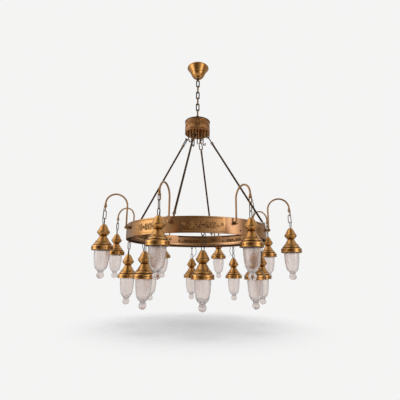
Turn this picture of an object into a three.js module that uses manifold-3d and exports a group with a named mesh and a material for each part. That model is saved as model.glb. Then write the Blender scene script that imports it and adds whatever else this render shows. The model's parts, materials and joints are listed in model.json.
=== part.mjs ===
// Round brass chandelier: a ceiling canopy and chain, a small drum, four stays and a ring
// that carries sixteen hanging glass lanterns, eight on goosenecks and eight under the ring.
// Millimetres, +Z up. The origin is the middle of the ceiling strap's top face.

import * as THREE from 'three';
import { mergeVertices } from 'three/addons/utils/BufferGeometryUtils.js';
import Module from 'manifold-3d';

const wasm = await Module();
wasm.setup();

// Clearances
const GAP = 0.3;
const RUNNING = 0.4;
const WELD = 1.2;

// Ceiling strap, its shank and loop
const STRAP_LENGTH = 100;
const STRAP_WIDTH = 22;
const STRAP_THICKNESS = 3;
const STRAP_SCREW_SPACING = 76;
const STRAP_SCREW_HOLE = 2.6;
const SHANK_RADIUS = 4;
const LOOP_RADIUS = 8;
const LOOP_WIRE = 3;

// Canopy and the collar that holds it up
const CANOPY_RADIUS = 70;
const CANOPY_HEIGHT = 73;
const CANOPY_SHEET = 1.8;
const CANOPY_RIM = 4.5;
const CANOPY_FLARE = 14;
const CANOPY_FLARE_DEPTH = 20;
const CANOPY_WAIST = 44;
const CANOPY_GROOVE_DEPTH = 42;
const CANOPY_GROOVE = 2;
const CANOPY_NOSE = 13;
const CEILING_GAP = 0.5;
const COLLAR_RADIUS = 9;
const COLLAR_HEIGHT = 5;

// Chain
const LINK_COUNT = 6;
const LINK_LENGTH = 52;
const LINK_WIDTH = 25;
const LINK_WIRE = 2.25;

// Drum and the spider of hooks inside it
const DRUM_RADIUS = 78;
const DRUM_HEIGHT = 81;
const DRUM_SHEET = 2;
const DRUM_LIP = 1.5;
const DRUM_LIP_HEIGHT = 4;
const EYE_RADIUS = 9;
const EYE_WIRE = 3;
const EYE_RISE = 44;
const PLATE_CLEARANCE = 4;
const PLATE_THICKNESS = 4;
const SPIDER_SHANK = 5;
const HOOK_WIRE = 2.5;
const HOOK_BEND = 8;
const HOOK_TIP = 8;
const STAY_HOOK_REACH = 68;
const STAY_HOOK_DROP = 35;
const SPARE_HOOK_REACH = 50;
const SPARE_HOOK_DROP = 65;
const SPARE_HOOK_COUNT = 4;

// Ring
const RING_DROP = 598;
const RING_RADIUS = 400;
const RING_HEIGHT = 80;
const RING_SHEET = 2.5;
const GUTTER_RISE = 11;
const GUTTER_WIDTH = 28;
const GUTTER_LIP = 19;
const RING_HOOK_RISE = 10;
const RING_HOOK_BEND = 7;
const RING_HOOK_FOOT = 34;

// Stays
const STAY_COUNT = 4;
const STAY_TURN = 2;
const STAY_ROD = 4;
const STAY_EYE_RADIUS = 7;
const STAY_EYE_WIRE = 2.5;

// Goosenecks
const ARM_COUNT = 8;
const FIRST_ARM = -18;
const ARM_BELOW_TOP = 27;
const ARM_STANDOFF = 16;
const ARM_TUBE = 4.5;
const ARM_RISE = 115;
const ARM_BEND = 57;
const STUB_RADIUS = 5;
const STUB_NUT = 9;
const STUB_NUT_THICKNESS = 6;
const STUB_BOSS = 7;
const STUB_BOSS_THICKNESS = 5;
const ARM_COLLAR_RADIUS = 8.5;
const ARM_COLLAR_NECK = 6;
const ARM_COLLAR_BEAD = 4;
const ARM_COLLAR_HEIGHT = 19;

// Lantern hanger: a staple, a link and the cap's eye
const STAPLE_WIRE = 2;
const STAPLE_HALF_WIDTH = 6;
const STAPLE_DROP = 22;
const HANGER_LENGTH = 46;
const HANGER_WIDTH = 18;
const HANGER_WIRE = 1.75;
const CAP_EYE_RISE = 31;

// Lantern cap, heights measured down from its top
const CAP_TOP_RADIUS = 10.5;
const BULGE_RADIUS = 31;
const BULGE_TOP = 38;
const BULGE_BOTTOM = 44;
const NECK_RADIUS = 18;
const NECK_DEPTH = 59;
const SKIRT_RADIUS = 30;
const SKIRT_DEPTH = 86;
const STEP_RADIUS = 46;
const STEP_DEPTH = 101;
const RIM_RADIUS = 53;
const RIM_TOP = 111;
const RIM_BOTTOM = 131;
const CAP_SHEET = 2;
const SEAT_DEPTH = 114;
const HOLDER_RADIUS = 13;
const HOLDER_TOP = 78;
const HOLDER_BOTTOM = 118;

// Lantern glass, heights measured down from the cap's top
const LIP_RADIUS = 48;
const LIP_HEIGHT = 6;
const GLASS_RADIUS = 38;
const GLASS_WALL = 3;
const GLASS_SHOULDER_RADIUS = 36;
const GLASS_SHOULDER = 165;
const GLASS_WAIST_RADIUS = 28;
const GLASS_WAIST = 208;
const GLASS_NECK_RADIUS = 12.5;
const GLASS_NECK = 234;
const GLASS_FLOOR = 226;
const BALL_RADIUS = 18;
const BALL_MIDDLE = 252;
const PONTIL_RADIUS = 11;
const GLASS_BOTTOM = 270;

// Facets
const RING_SIDES = 32;
const ROUND_SIDES = 20;
const LANTERN_SIDES = 8;
const BAR_SIDES = 8;
const TUBE_SIDES = 6;
const WIRE_SIDES = 4;
const EYE_STEPS = 8;
const CURVE_STEPS = 3;
const BEND_STEP = Math.PI / 4;
const ARCH_STEP = Math.PI / 6;

// Finishes
const antiqueBrass = { color: 0xa9803f, roughness: 0.32, metalness: 1 };
const copperBrass = { color: 0x9c6b43, roughness: 0.38, metalness: 1 };
const darkBrass = { color: 0x5a452c, roughness: 0.45, metalness: 1 };
const clearGlass = { color: 0xe9dfda, roughness: 0.12, metalness: 0, transparent: true, opacity: 0.4 };

// Heights down the chandelier's axis
const loopBottom = -(CEILING_GAP + CANOPY_HEIGHT + COLLAR_HEIGHT + 2 * GAP) - 2 * LOOP_RADIUS - LOOP_WIRE;
const linkReach = LINK_LENGTH - 2 * LINK_WIRE;
const firstLinkTop = loopBottom + nest(LOOP_WIRE, LINK_WIRE);
const linkPitch = linkReach - nest(LINK_WIRE, LINK_WIRE);
const lastLinkBottom = firstLinkTop - (LINK_COUNT - 1) * linkPitch - linkReach;
const eyeTop = lastLinkBottom + nest(EYE_WIRE, LINK_WIRE);
const drumTop = eyeTop - EYE_RISE;
const drumBottom = drumTop - DRUM_HEIGHT;
const plateTop = drumTop - DRUM_SHEET - GAP;
const plateRadius = DRUM_RADIUS - DRUM_SHEET - PLATE_CLEARANCE;
const ringTop = drumBottom - RING_DROP;
const ringBottom = ringTop - RING_HEIGHT;
const gutterFloor = ringBottom + GUTTER_RISE;
const armHeight = ringTop - ARM_BELOW_TOP;
const underRadius = RING_RADIUS - RING_SHEET - GUTTER_WIDTH / 2;
const legRadius = RING_RADIUS + ARM_STANDOFF;
const dropRadius = legRadius + 2 * ARM_BEND;
const armCollarBottom = armHeight + ARM_RISE - ARM_COLLAR_HEIGHT;

// The distance between the centre lines of two wires that hang in each other
function nest(wireA, wireB) {
  return wireA + wireB + GAP;
}

// A closed geometry as a solid that can be joined and cut
function solid(geometry) {
  const bare = geometry.index ? geometry.toNonIndexed() : geometry.clone();
  bare.deleteAttribute('normal');
  bare.deleteAttribute('uv');
  const merged = mergeVertices(bare, 1e-4);
  const triVerts = new Uint32Array(merged.index.array);
  const vertProperties = new Float32Array(merged.attributes.position.array);
  return new wasm.Manifold(new wasm.Mesh({ numProp: 3, vertProperties, triVerts }));
}

function joined(geometries) {
  return geometries.map(solid).reduce((whole, piece) => whole.add(piece));
}

function geometryOf(manifold) {
  const mesh = manifold.getMesh();
  const geometry = new THREE.BufferGeometry();
  geometry.setAttribute('position', new THREE.BufferAttribute(new Float32Array(mesh.vertProperties), 3));
  geometry.setIndex(new THREE.BufferAttribute(new Uint32Array(mesh.triVerts), 1));
  geometry.computeVertexNormals();
  return geometry;
}

// A profile of [radius, height] points turned round the Z axis
function turned(profile, sides) {
  const points = profile.map(([radius, height]) => new THREE.Vector2(radius, height));
  return new THREE.LatheGeometry(points, sides).rotateX(Math.PI / 2);
}

// A profile that encloses a ring of material
function turnedRing(profile, sides) {
  return turned([...profile, profile[0]], sides);
}

// A lantern shape, turned a little wide so that its flat-sided section has the round one's area
function turnedLantern(profile) {
  const turn = (2 * Math.PI) / LANTERN_SIDES;
  const swell = Math.sqrt(turn / Math.sin(turn));
  return turned(profile, LANTERN_SIDES).scale(swell, swell, 1);
}

function cylinder(radius, bottom, top, sides) {
  return turned([[0, bottom], [radius, bottom], [radius, top], [0, top]], sides);
}

// A closed round eye of wire in the XZ plane, round the origin
function eye(radius, wireRadius, sides = TUBE_SIDES) {
  return new THREE.TorusGeometry(radius, wireRadius, sides, EYE_STEPS).rotateX(Math.PI / 2);
}

function polygon(radius, sides) {
  const corners = [];
  for (let i = 0; i < sides; i++) {
    const angle = (2 * Math.PI * i) / sides;
    corners.push(new THREE.Vector2(radius * Math.cos(angle), radius * Math.sin(angle)));
  }
  return new THREE.Shape(corners);
}

// A flat path of lines and arcs, stood up in the XZ plane and stepped only where it bends
class WirePath extends THREE.Curve {
  constructor(path, arcStep = BEND_STEP) {
    super();
    this.points = [];
    this.tangents = [];
    for (const curve of path.curves) {
      this.addCurve(curve, arcStep);
    }
  }

  addCurve(curve, arcStep) {
    if (curve.getLength() < 1e-6) return;
    const turn = curve.isEllipseCurve ? Math.abs(curve.aEndAngle - curve.aStartAngle) : 0;
    const steps = Math.max(1, Math.round(turn / arcStep));
    for (let i = this.points.length ? 1 : 0; i <= steps; i++) {
      const point = curve.getPoint(i / steps);
      const tangent = curve.getTangent(i / steps);
      this.points.push(new THREE.Vector3(point.x, 0, point.y));
      this.tangents.push(new THREE.Vector3(tangent.x, 0, tangent.y));
    }
  }

  get steps() {
    return this.points.length - 1;
  }

  getPoint(t) {
    return this.points[Math.round(t * this.steps)].clone();
  }

  getPointAt(u) {
    return this.getPoint(u);
  }

  getTangentAt(u) {
    return this.tangents[Math.round(u * this.steps)].clone();
  }

  getSpacedPoints(divisions) {
    return Array.from({ length: divisions + 1 }, (_, i) => this.getPoint(i / divisions));
  }
}

// A round wire or tube along an open path
function wire(path, radius, sides = WIRE_SIDES, arcStep = BEND_STEP) {
  const route = new WirePath(path, arcStep);
  const shape = polygon(radius, sides);
  return new THREE.ExtrudeGeometry(shape, { extrudePath: route, steps: route.steps });
}

// An oval link of wire in the XZ plane, its middle at the origin
function link(length, width, radius) {
  const bend = width / 2 - radius;
  const straight = length / 2 - width / 2;
  const path = new THREE.Path();
  path.absarc(0, straight, bend, 0, Math.PI, false);
  path.absarc(0, -straight, bend, Math.PI, 2 * Math.PI, false);
  path.lineTo(bend, straight);
  const route = new WirePath(path);
  return new THREE.TubeGeometry(route, route.steps, radius, WIRE_SIDES, true);
}

// A U of wire in the YZ plane, its legs starting at top and its bend reaching down to bottom
function staple(top, bottom) {
  const path = new THREE.Path();
  path.moveTo(-STAPLE_HALF_WIDTH, top);
  path.lineTo(-STAPLE_HALF_WIDTH, bottom + STAPLE_HALF_WIDTH);
  path.absarc(0, bottom + STAPLE_HALF_WIDTH, STAPLE_HALF_WIDTH, Math.PI, 2 * Math.PI, false);
  path.lineTo(STAPLE_HALF_WIDTH, top);
  return wire(path, STAPLE_WIRE).rotateZ(Math.PI / 2);
}

// A hook that drops from top at x - bend, turns under x and ends in a short tip
function hook(x, top, bottom) {
  const path = new THREE.Path();
  path.moveTo(x - HOOK_BEND, top);
  path.lineTo(x - HOOK_BEND, bottom + HOOK_BEND);
  path.absarc(x, bottom + HOOK_BEND, HOOK_BEND, Math.PI, 2 * Math.PI, false);
  path.lineTo(x + HOOK_BEND, bottom + HOOK_BEND + HOOK_TIP);
  return wire(path, HOOK_WIRE);
}

const chandelier = new THREE.Group();

function finish(look) {
  return new THREE.MeshStandardMaterial(look);
}

function add(parent, name, geometry, look) {
  const mesh = new THREE.Mesh(geometry, finish(look));
  mesh.name = name;
  parent.add(mesh);
  return mesh;
}

// A group whose +X points out from the axis at an angle counted from the front, right positive
function spoke(degrees) {
  const group = new THREE.Group();
  group.rotation.z = THREE.MathUtils.degToRad(degrees - 90);
  chandelier.add(group);
  return group;
}

// Ceiling strap with a threaded shank and a closed loop for the chain
function ceilingStrap() {
  const strap = new THREE.BoxGeometry(STRAP_LENGTH, STRAP_WIDTH, STRAP_THICKNESS);
  strap.translate(0, 0, -STRAP_THICKNESS / 2);
  const loopMiddle = loopBottom + LOOP_RADIUS;
  const shank = cylinder(SHANK_RADIUS, loopMiddle + LOOP_RADIUS, -STRAP_THICKNESS / 2, BAR_SIDES);
  const loop = eye(LOOP_RADIUS, LOOP_WIRE);
  loop.rotateZ(Math.PI / 2).translate(0, 0, loopMiddle);
  let body = joined([strap, shank, loop]);
  for (const side of [-1, 1]) {
    const drill = cylinder(STRAP_SCREW_HOLE, -2 * STRAP_THICKNESS, STRAP_THICKNESS, BAR_SIDES);
    drill.translate((side * STRAP_SCREW_SPACING) / 2, 0, 0);
    body = body.subtract(solid(drill));
  }
  return geometryOf(body);
}

// Spun canopy: a flared rim, a groove half way down and a rounded bowl below it
function canopy() {
  const top = -CEILING_GAP;
  const bottom = top - CANOPY_HEIGHT;
  const groove = top - CANOPY_GROOVE_DEPTH;
  const hole = SHANK_RADIUS + RUNNING;
  const skin = new THREE.Path();
  skin.moveTo(hole, bottom);
  skin.lineTo(CANOPY_NOSE, bottom);
  skin.quadraticCurveTo(CANOPY_WAIST, bottom, CANOPY_WAIST, groove - CANOPY_GROOVE);
  skin.lineTo(CANOPY_WAIST - CANOPY_GROOVE, groove);
  skin.lineTo(CANOPY_WAIST, groove + CANOPY_GROOVE);
  const flare = [CANOPY_RADIUS - CANOPY_FLARE, top - CANOPY_FLARE_DEPTH];
  skin.quadraticCurveTo(...flare, CANOPY_RADIUS, top - CANOPY_RIM);
  skin.lineTo(CANOPY_RADIUS, top);
  const waist = CANOPY_WAIST - CANOPY_GROOVE - CANOPY_SHEET;
  const lining = new THREE.Path();
  lining.moveTo(CANOPY_RADIUS - CANOPY_SHEET, top);
  lining.quadraticCurveTo(flare[0] - CANOPY_SHEET, flare[1] + CANOPY_SHEET, waist, groove);
  lining.quadraticCurveTo(waist, bottom + CANOPY_SHEET, CANOPY_NOSE, bottom + CANOPY_SHEET);
  lining.lineTo(hole, bottom + CANOPY_SHEET);
  const profile = [...skin.getPoints(CURVE_STEPS), ...lining.getPoints(CURVE_STEPS)];
  return turnedRing(profile.map((point) => [point.x, point.y]), ROUND_SIDES);
}

// Collar screwed on the shank under the canopy
function canopyCollar() {
  const top = -CEILING_GAP - CANOPY_HEIGHT - GAP;
  const bottom = top - COLLAR_HEIGHT;
  const bore = SHANK_RADIUS + RUNNING;
  return turnedRing([[bore, bottom], [COLLAR_RADIUS, bottom], [COLLAR_RADIUS, top], [bore, top]], BAR_SIDES);
}

// Drum shell: an open cup with its mouth down and a thin lip round its top edge
function drumShell() {
  const hole = SPIDER_SHANK + RUNNING;
  const lip = DRUM_RADIUS + DRUM_LIP;
  const wall = DRUM_RADIUS - DRUM_SHEET;
  return turnedRing([
    [hole, drumTop - DRUM_SHEET], [wall, drumTop - DRUM_SHEET], [wall, drumBottom],
    [DRUM_RADIUS, drumBottom], [DRUM_RADIUS, drumTop - DRUM_LIP_HEIGHT],
    [lip, drumTop - DRUM_LIP_HEIGHT], [lip, drumTop], [hole, drumTop],
  ], ROUND_SIDES);
}

// Spider: the plate under the drum's top, its eye for the chain and nine welded hooks
function hookSpider() {
  const weld = plateTop - PLATE_THICKNESS / 2;
  const eyeMiddle = eyeTop - EYE_RADIUS;
  const plate = cylinder(plateRadius, plateTop - PLATE_THICKNESS, plateTop, ROUND_SIDES);
  const shank = cylinder(SPIDER_SHANK, weld, eyeMiddle - EYE_RADIUS, BAR_SIDES);
  const pieces = [plate, shank, eye(EYE_RADIUS, EYE_WIRE).translate(0, 0, eyeMiddle)];
  for (let i = 0; i < STAY_COUNT; i++) {
    const loaded = hook(STAY_HOOK_REACH, weld, drumBottom - STAY_HOOK_DROP);
    pieces.push(loaded.rotateZ(spokeAngle(stayAngle(i))));
  }
  for (let i = 0; i < SPARE_HOOK_COUNT; i++) {
    const spare = hook(SPARE_HOOK_REACH, weld, drumBottom - SPARE_HOOK_DROP);
    pieces.push(spare.rotateZ(spokeAngle(stayAngle(i) + 180 / SPARE_HOOK_COUNT)));
  }
  pieces.push(hook(0, weld, drumBottom - SPARE_HOOK_DROP));
  return geometryOf(joined(pieces));
}

function spokeAngle(degrees) {
  return THREE.MathUtils.degToRad(degrees - 90);
}

function armAngle(i) {
  return FIRST_ARM + (360 / ARM_COUNT) * i;
}

function stayAngle(i) {
  return FIRST_ARM + STAY_TURN + (360 / STAY_COUNT) * i;
}

// Ring: a rolled band with a wiring gutter inside its lower edge, four hooks for the stays,
// a staple under the gutter for each lower lantern and a hole for each gooseneck's stub
function ring() {
  const inner = RING_RADIUS - RING_SHEET;
  const mouth = inner - GUTTER_WIDTH + RING_SHEET;
  const floorTop = gutterFloor + RING_SHEET;
  const lipTop = gutterFloor + GUTTER_LIP;
  const band = turnedRing([
    [RING_RADIUS, ringBottom], [RING_RADIUS, ringTop], [inner, ringTop], [inner, floorTop], [mouth, floorTop],
    [mouth, lipTop], [mouth - RING_SHEET, lipTop], [mouth - RING_SHEET, gutterFloor], [inner, gutterFloor],
    [inner, ringBottom],
  ], RING_SIDES);
  const lift = 1 / Math.cos(Math.PI / RING_SIDES);
  band.scale(lift, lift, 1).rotateZ(spokeAngle(FIRST_ARM) + Math.PI / RING_SIDES);
  let body = solid(band);
  for (let i = 0; i < ARM_COUNT; i++) {
    const drill = cylinder(STUB_RADIUS + RUNNING, -4 * RING_SHEET, 4 * RING_SHEET, TUBE_SIDES);
    drill.rotateY(Math.PI / 2).translate(RING_RADIUS, 0, armHeight).rotateZ(spokeAngle(armAngle(i)));
    body = body.subtract(solid(drill));
    const hanger = staple(gutterFloor + RING_SHEET / 2, gutterFloor - STAPLE_DROP);
    hanger.translate(underRadius, 0, 0).rotateZ(spokeAngle(lowerAngle(i)));
    body = body.add(solid(hanger));
  }
  for (let i = 0; i < STAY_COUNT; i++) {
    body = body.add(solid(ringHook().rotateZ(spokeAngle(stayAngle(i)))));
  }
  return geometryOf(body);
}

function lowerAngle(i) {
  return armAngle(i) + 180 / ARM_COUNT;
}

// The hook on the band's inside that rises over its top edge and curls in
function ringHook() {
  const shank = RING_RADIUS - RING_SHEET - HOOK_WIRE + WELD;
  const crown = ringTop + RING_HOOK_RISE;
  const path = new THREE.Path();
  path.moveTo(shank, ringBottom + RING_HOOK_FOOT);
  path.lineTo(shank, crown);
  path.absarc(shank - RING_HOOK_BEND, crown, RING_HOOK_BEND, 0, Math.PI, false);
  path.lineTo(shank - 2 * RING_HOOK_BEND, crown - RING_HOOK_BEND);
  return wire(path, HOOK_WIRE);
}

// The straight line from a spider hook's bend to a ring hook's bend, in the spoke's XZ plane
function stayLine() {
  const from = new THREE.Vector3(STAY_HOOK_REACH, 0, drumBottom - STAY_HOOK_DROP + HOOK_BEND);
  const shank = RING_RADIUS - RING_SHEET - HOOK_WIRE + WELD;
  const to = new THREE.Vector3(shank - RING_HOOK_BEND, 0, ringTop + RING_HOOK_RISE);
  const along = to.clone().sub(from).normalize();
  const linkTop = HOOK_BEND - nest(HOOK_WIRE, LINK_WIRE);
  const linkBottom = linkTop + linkReach;
  const upperEye = linkBottom - nest(LINK_WIRE, STAY_EYE_WIRE) + STAY_EYE_RADIUS;
  const lowerEye = from.distanceTo(to) - RING_HOOK_BEND + nest(HOOK_WIRE, STAY_EYE_WIRE) - STAY_EYE_RADIUS;
  const tilt = Math.atan2(along.x, -along.z);
  return { from, along, tilt, linkMiddle: (linkTop + linkBottom) / 2, upperEye, lowerEye };
}

// Stay: a rod with a closed eye at each end, the two eyes square to each other
function stay(line) {
  const half = (line.lowerEye - line.upperEye) / 2;
  const rodHalf = half - STAY_EYE_RADIUS;
  const rod = cylinder(STAY_ROD, -rodHalf, rodHalf, TUBE_SIDES);
  const upper = eye(STAY_EYE_RADIUS, STAY_EYE_WIRE, WIRE_SIDES).translate(0, 0, half);
  const lower = eye(STAY_EYE_RADIUS, STAY_EYE_WIRE, WIRE_SIDES);
  lower.rotateZ(Math.PI / 2).translate(0, 0, -half);
  return geometryOf(joined([rod, upper, lower]));
}

// Gooseneck: a stub bolted through the band, a tube bent over and down, a collar and a staple
function gooseneck() {
  const stub = turned(stubProfile(), TUBE_SIDES).rotateY(Math.PI / 2);
  const path = new THREE.Path();
  path.moveTo(legRadius, 0);
  path.lineTo(legRadius, ARM_RISE);
  path.absarc(legRadius + ARM_BEND, ARM_RISE, ARM_BEND, Math.PI, 0, true);
  path.lineTo(dropRadius, ARM_RISE - ARM_COLLAR_HEIGHT / 2);
  const tube = wire(path, ARM_TUBE, TUBE_SIDES, ARCH_STEP);
  const bottom = ARM_RISE - ARM_COLLAR_HEIGHT;
  const collar = turned([
    [0, bottom], [ARM_COLLAR_NECK, bottom], [ARM_COLLAR_RADIUS, bottom + ARM_COLLAR_BEAD],
    [ARM_COLLAR_RADIUS, bottom + 2 * ARM_COLLAR_BEAD], [ARM_COLLAR_NECK, bottom + 3 * ARM_COLLAR_BEAD],
    [ARM_COLLAR_NECK, ARM_RISE], [0, ARM_RISE],
  ], TUBE_SIDES);
  collar.translate(dropRadius, 0, 0);
  const hanger = staple(bottom + STAPLE_WIRE, bottom - STAPLE_DROP).translate(dropRadius, 0, 0);
  return geometryOf(joined([stub, tube, collar, hanger]));
}

// The stub turned about its own length: nuts on both faces of the band and a boss at the tube
function stubProfile() {
  const inside = RING_RADIUS - RING_SHEET - GAP;
  const outside = RING_RADIUS + GAP;
  const tubeFace = legRadius + ARM_TUBE;
  return [
    [0, inside - STUB_NUT_THICKNESS], [STUB_NUT, inside - STUB_NUT_THICKNESS], [STUB_NUT, inside],
    [STUB_RADIUS, inside], [STUB_RADIUS, outside], [STUB_NUT, outside],
    [STUB_NUT, outside + STUB_NUT_THICKNESS], [STUB_RADIUS, outside + STUB_NUT_THICKNESS],
    [STUB_RADIUS, tubeFace], [STUB_BOSS, tubeFace], [STUB_BOSS, tubeFace + STUB_BOSS_THICKNESS],
    [0, tubeFace + STUB_BOSS_THICKNESS],
  ];
}

// Height of the cap's top below the middle of the staple wire that its link hangs on
const hangerReach = HANGER_LENGTH - 2 * HANGER_WIRE;
const capEyeTop = nest(STAPLE_WIRE, HANGER_WIRE) - hangerReach + HANGER_WIRE + STAPLE_WIRE - WELD;
const capTop = capEyeTop - CAP_EYE_RISE;

// Lantern cap, spun in one skin, with its link, its eye and the lampholder inside it
function lanternCap() {
  const skin = [
    [0, 0], [CAP_TOP_RADIUS, 0], [BULGE_RADIUS, BULGE_TOP], [BULGE_RADIUS, BULGE_BOTTOM],
    [NECK_RADIUS, NECK_DEPTH], [SKIRT_RADIUS, SKIRT_DEPTH], [STEP_RADIUS, STEP_DEPTH],
    [RIM_RADIUS, RIM_TOP], [RIM_RADIUS, RIM_BOTTOM],
  ];
  const lining = [
    [RIM_RADIUS - CAP_SHEET, RIM_BOTTOM], [RIM_RADIUS - CAP_SHEET, SEAT_DEPTH],
    [STEP_RADIUS - CAP_SHEET, SEAT_DEPTH], [HOLDER_RADIUS, HOLDER_TOP],
    [HOLDER_RADIUS, HOLDER_BOTTOM], [0, HOLDER_BOTTOM],
  ];
  const profile = [...skin, ...lining].map(([radius, depth]) => [radius, capTop - depth]).reverse();
  const body = turnedLantern(profile);
  const hangerLink = link(HANGER_LENGTH, HANGER_WIDTH, HANGER_WIRE);
  hangerLink.translate(0, 0, nest(STAPLE_WIRE, HANGER_WIRE) - hangerReach / 2);
  const capEye = staple(-capTop + STAPLE_WIRE, -capEyeTop).rotateX(Math.PI);
  return geometryOf(joined([body, hangerLink, capEye]));
}

// Lantern glass: an open bell flared out under the cap's seat, closed below by a solid ball
function lanternGlass() {
  const lipTop = SEAT_DEPTH + GAP;
  const profile = [
    [0, GLASS_FLOOR], [GLASS_WAIST_RADIUS - GLASS_WALL, GLASS_WAIST],
    [GLASS_SHOULDER_RADIUS - GLASS_WALL, GLASS_SHOULDER], [GLASS_RADIUS - GLASS_WALL, lipTop],
    [LIP_RADIUS, lipTop], [GLASS_RADIUS, lipTop + LIP_HEIGHT], [GLASS_SHOULDER_RADIUS, GLASS_SHOULDER],
    [GLASS_WAIST_RADIUS, GLASS_WAIST], [GLASS_NECK_RADIUS, GLASS_NECK],
    [BALL_RADIUS, BALL_MIDDLE], [PONTIL_RADIUS, GLASS_BOTTOM], [0, GLASS_BOTTOM],
  ];
  const down = profile.map(([radius, depth]) => [radius, capTop - depth]).reverse();
  return turnedLantern(down);
}

const capShape = lanternCap();
const glassShape = lanternGlass();

function hangLantern(name, degrees, radius, height) {
  const group = spoke(degrees);
  const cap = add(group, `${name}_cap`, capShape, antiqueBrass);
  const glass = add(group, `${name}_glass`, glassShape, clearGlass);
  for (const piece of [cap, glass]) {
    piece.position.set(radius, 0, height);
  }
}

add(chandelier, 'ceiling_strap', ceilingStrap(), darkBrass);
add(chandelier, 'canopy', canopy(), antiqueBrass);
add(chandelier, 'canopy_collar', canopyCollar(), darkBrass);

const linkShape = link(LINK_LENGTH, LINK_WIDTH, LINK_WIRE);
for (let i = 0; i < LINK_COUNT; i++) {
  const chainLink = add(chandelier, `chain_link_${i + 1}`, linkShape, darkBrass);
  chainLink.position.z = firstLinkTop - i * linkPitch - linkReach / 2;
  chainLink.rotation.z = (i % 2) * (Math.PI / 2);
}

add(chandelier, 'drum_shell', drumShell(), copperBrass);
add(chandelier, 'hook_spider', hookSpider(), darkBrass);

const line = stayLine();
const stayShape = stay(line);
for (let i = 0; i < STAY_COUNT; i++) {
  const slope = new THREE.Group();
  slope.position.copy(line.from);
  slope.rotation.y = -line.tilt;
  spoke(stayAngle(i)).add(slope);
  const stayLink = add(slope, `stay_link_${i + 1}`, linkShape, darkBrass);
  stayLink.position.z = -line.linkMiddle;
  stayLink.rotation.z = Math.PI / 2;
  const rod = add(slope, `stay_${i + 1}`, stayShape, darkBrass);
  rod.position.z = -(line.upperEye + line.lowerEye) / 2;
}

add(chandelier, 'ring', ring(), copperBrass);

const gooseneckShape = gooseneck();
for (let i = 0; i < ARM_COUNT; i++) {
  const arm = add(spoke(armAngle(i)), `gooseneck_${i + 1}`, gooseneckShape, antiqueBrass);
  arm.position.z = armHeight;
}

for (let i = 0; i < ARM_COUNT; i++) {
  hangLantern(`upper_${i + 1}`, armAngle(i), dropRadius, armCollarBottom - STAPLE_DROP);
  hangLantern(`lower_${i + 1}`, lowerAngle(i), underRadius, gutterFloor - STAPLE_DROP);
}

export default chandelier;
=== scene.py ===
# %% [markdown]
# # A round brass chandelier
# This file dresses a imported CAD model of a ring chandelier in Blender: a canopy and chain,
# a small embossed drum, four twisted stays and a wide ring with sixteen glass lanterns.
# The CAD model gives every place and size. Here each piece is modelled again with smooth
# curves and fine detail, and gets a metal or glass finish made of shader nodes. Shapes are
# written in millimetres. What Blender and the frame give and take is in metres.

# %% Load the CAD frame
import json
from math import atan2, copysign, cos, dist, hypot, pi, radians, sin
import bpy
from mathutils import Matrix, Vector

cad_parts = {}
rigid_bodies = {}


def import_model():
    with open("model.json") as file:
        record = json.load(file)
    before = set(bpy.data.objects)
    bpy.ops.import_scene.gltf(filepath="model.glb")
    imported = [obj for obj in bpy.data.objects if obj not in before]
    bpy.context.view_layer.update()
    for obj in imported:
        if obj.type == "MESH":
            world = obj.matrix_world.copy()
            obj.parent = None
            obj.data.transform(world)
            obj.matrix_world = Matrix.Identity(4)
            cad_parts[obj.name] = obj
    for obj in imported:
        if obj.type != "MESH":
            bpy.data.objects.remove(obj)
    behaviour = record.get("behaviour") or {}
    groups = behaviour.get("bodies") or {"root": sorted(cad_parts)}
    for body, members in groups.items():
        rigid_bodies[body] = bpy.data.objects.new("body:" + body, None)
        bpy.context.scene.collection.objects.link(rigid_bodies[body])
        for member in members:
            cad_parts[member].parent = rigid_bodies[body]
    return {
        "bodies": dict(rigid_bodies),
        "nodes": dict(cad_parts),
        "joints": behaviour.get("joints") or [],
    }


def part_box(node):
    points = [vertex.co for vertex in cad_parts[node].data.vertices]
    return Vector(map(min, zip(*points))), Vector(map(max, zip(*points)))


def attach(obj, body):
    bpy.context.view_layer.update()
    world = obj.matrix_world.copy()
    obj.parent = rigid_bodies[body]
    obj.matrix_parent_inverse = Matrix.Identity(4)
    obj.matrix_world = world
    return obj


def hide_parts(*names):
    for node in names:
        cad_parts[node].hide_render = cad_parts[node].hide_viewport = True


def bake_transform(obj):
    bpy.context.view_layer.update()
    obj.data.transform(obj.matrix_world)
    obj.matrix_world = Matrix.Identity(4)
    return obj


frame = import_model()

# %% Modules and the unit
from types import SimpleNamespace

import bpy
import numpy as np
from mathutils import Matrix, Vector

mm = 0.001
own = set(frame["nodes"].values()) | set(frame["bodies"].values())
for spare in [thing for thing in bpy.data.objects if thing not in own]:
    bpy.data.objects.remove(spare)
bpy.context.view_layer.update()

# %% [markdown]
# ## The camera
# The photographer stood nearly two metres in front of the chandelier and a little below
# it, and looked up by 13 degrees. The values come from a pinhole camera fitted to the
# edges of the ring and the tops and balls of the lanterns. The small roll is the tilt of
# the hand that held the camera.

# %% Camera
PITCH, YAW, ROLL = (radians(degrees) for degrees in (13.32, 0.61, 0.45))
EYE = (0, -1.8476, -1.3388)
LENS, SENSOR = 28.44, 36

bpy.ops.object.camera_add(location=EYE)
camera = bpy.context.object
camera.name = "photo_camera"
camera.data.sensor_width = SENSOR
camera.data.lens = LENS
look = Matrix.Rotation(-YAW, 4, "Z") @ Matrix.Rotation(pi / 2 + PITCH, 4, "X")
look = look @ Matrix.Rotation(ROLL, 4, "Z")
camera.rotation_mode = "QUATERNION"
camera.rotation_quaternion = look.to_quaternion()
bpy.context.scene.camera = camera
bpy.context.scene.view_settings.view_transform = "Standard"
print("camera looks along", tuple(round(c, 3) for c in look @ Vector((0, 0, -1))))

# %% [markdown]
# ## Where things are
# Each lantern hangs on a joint of the CAD model, so the joint's place is the place of its
# hook. Angles go round the chandelier from the front, to the right. A spoke is the line
# from the axis out at such an angle: pieces are modelled along +X and turned to theirs.

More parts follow.
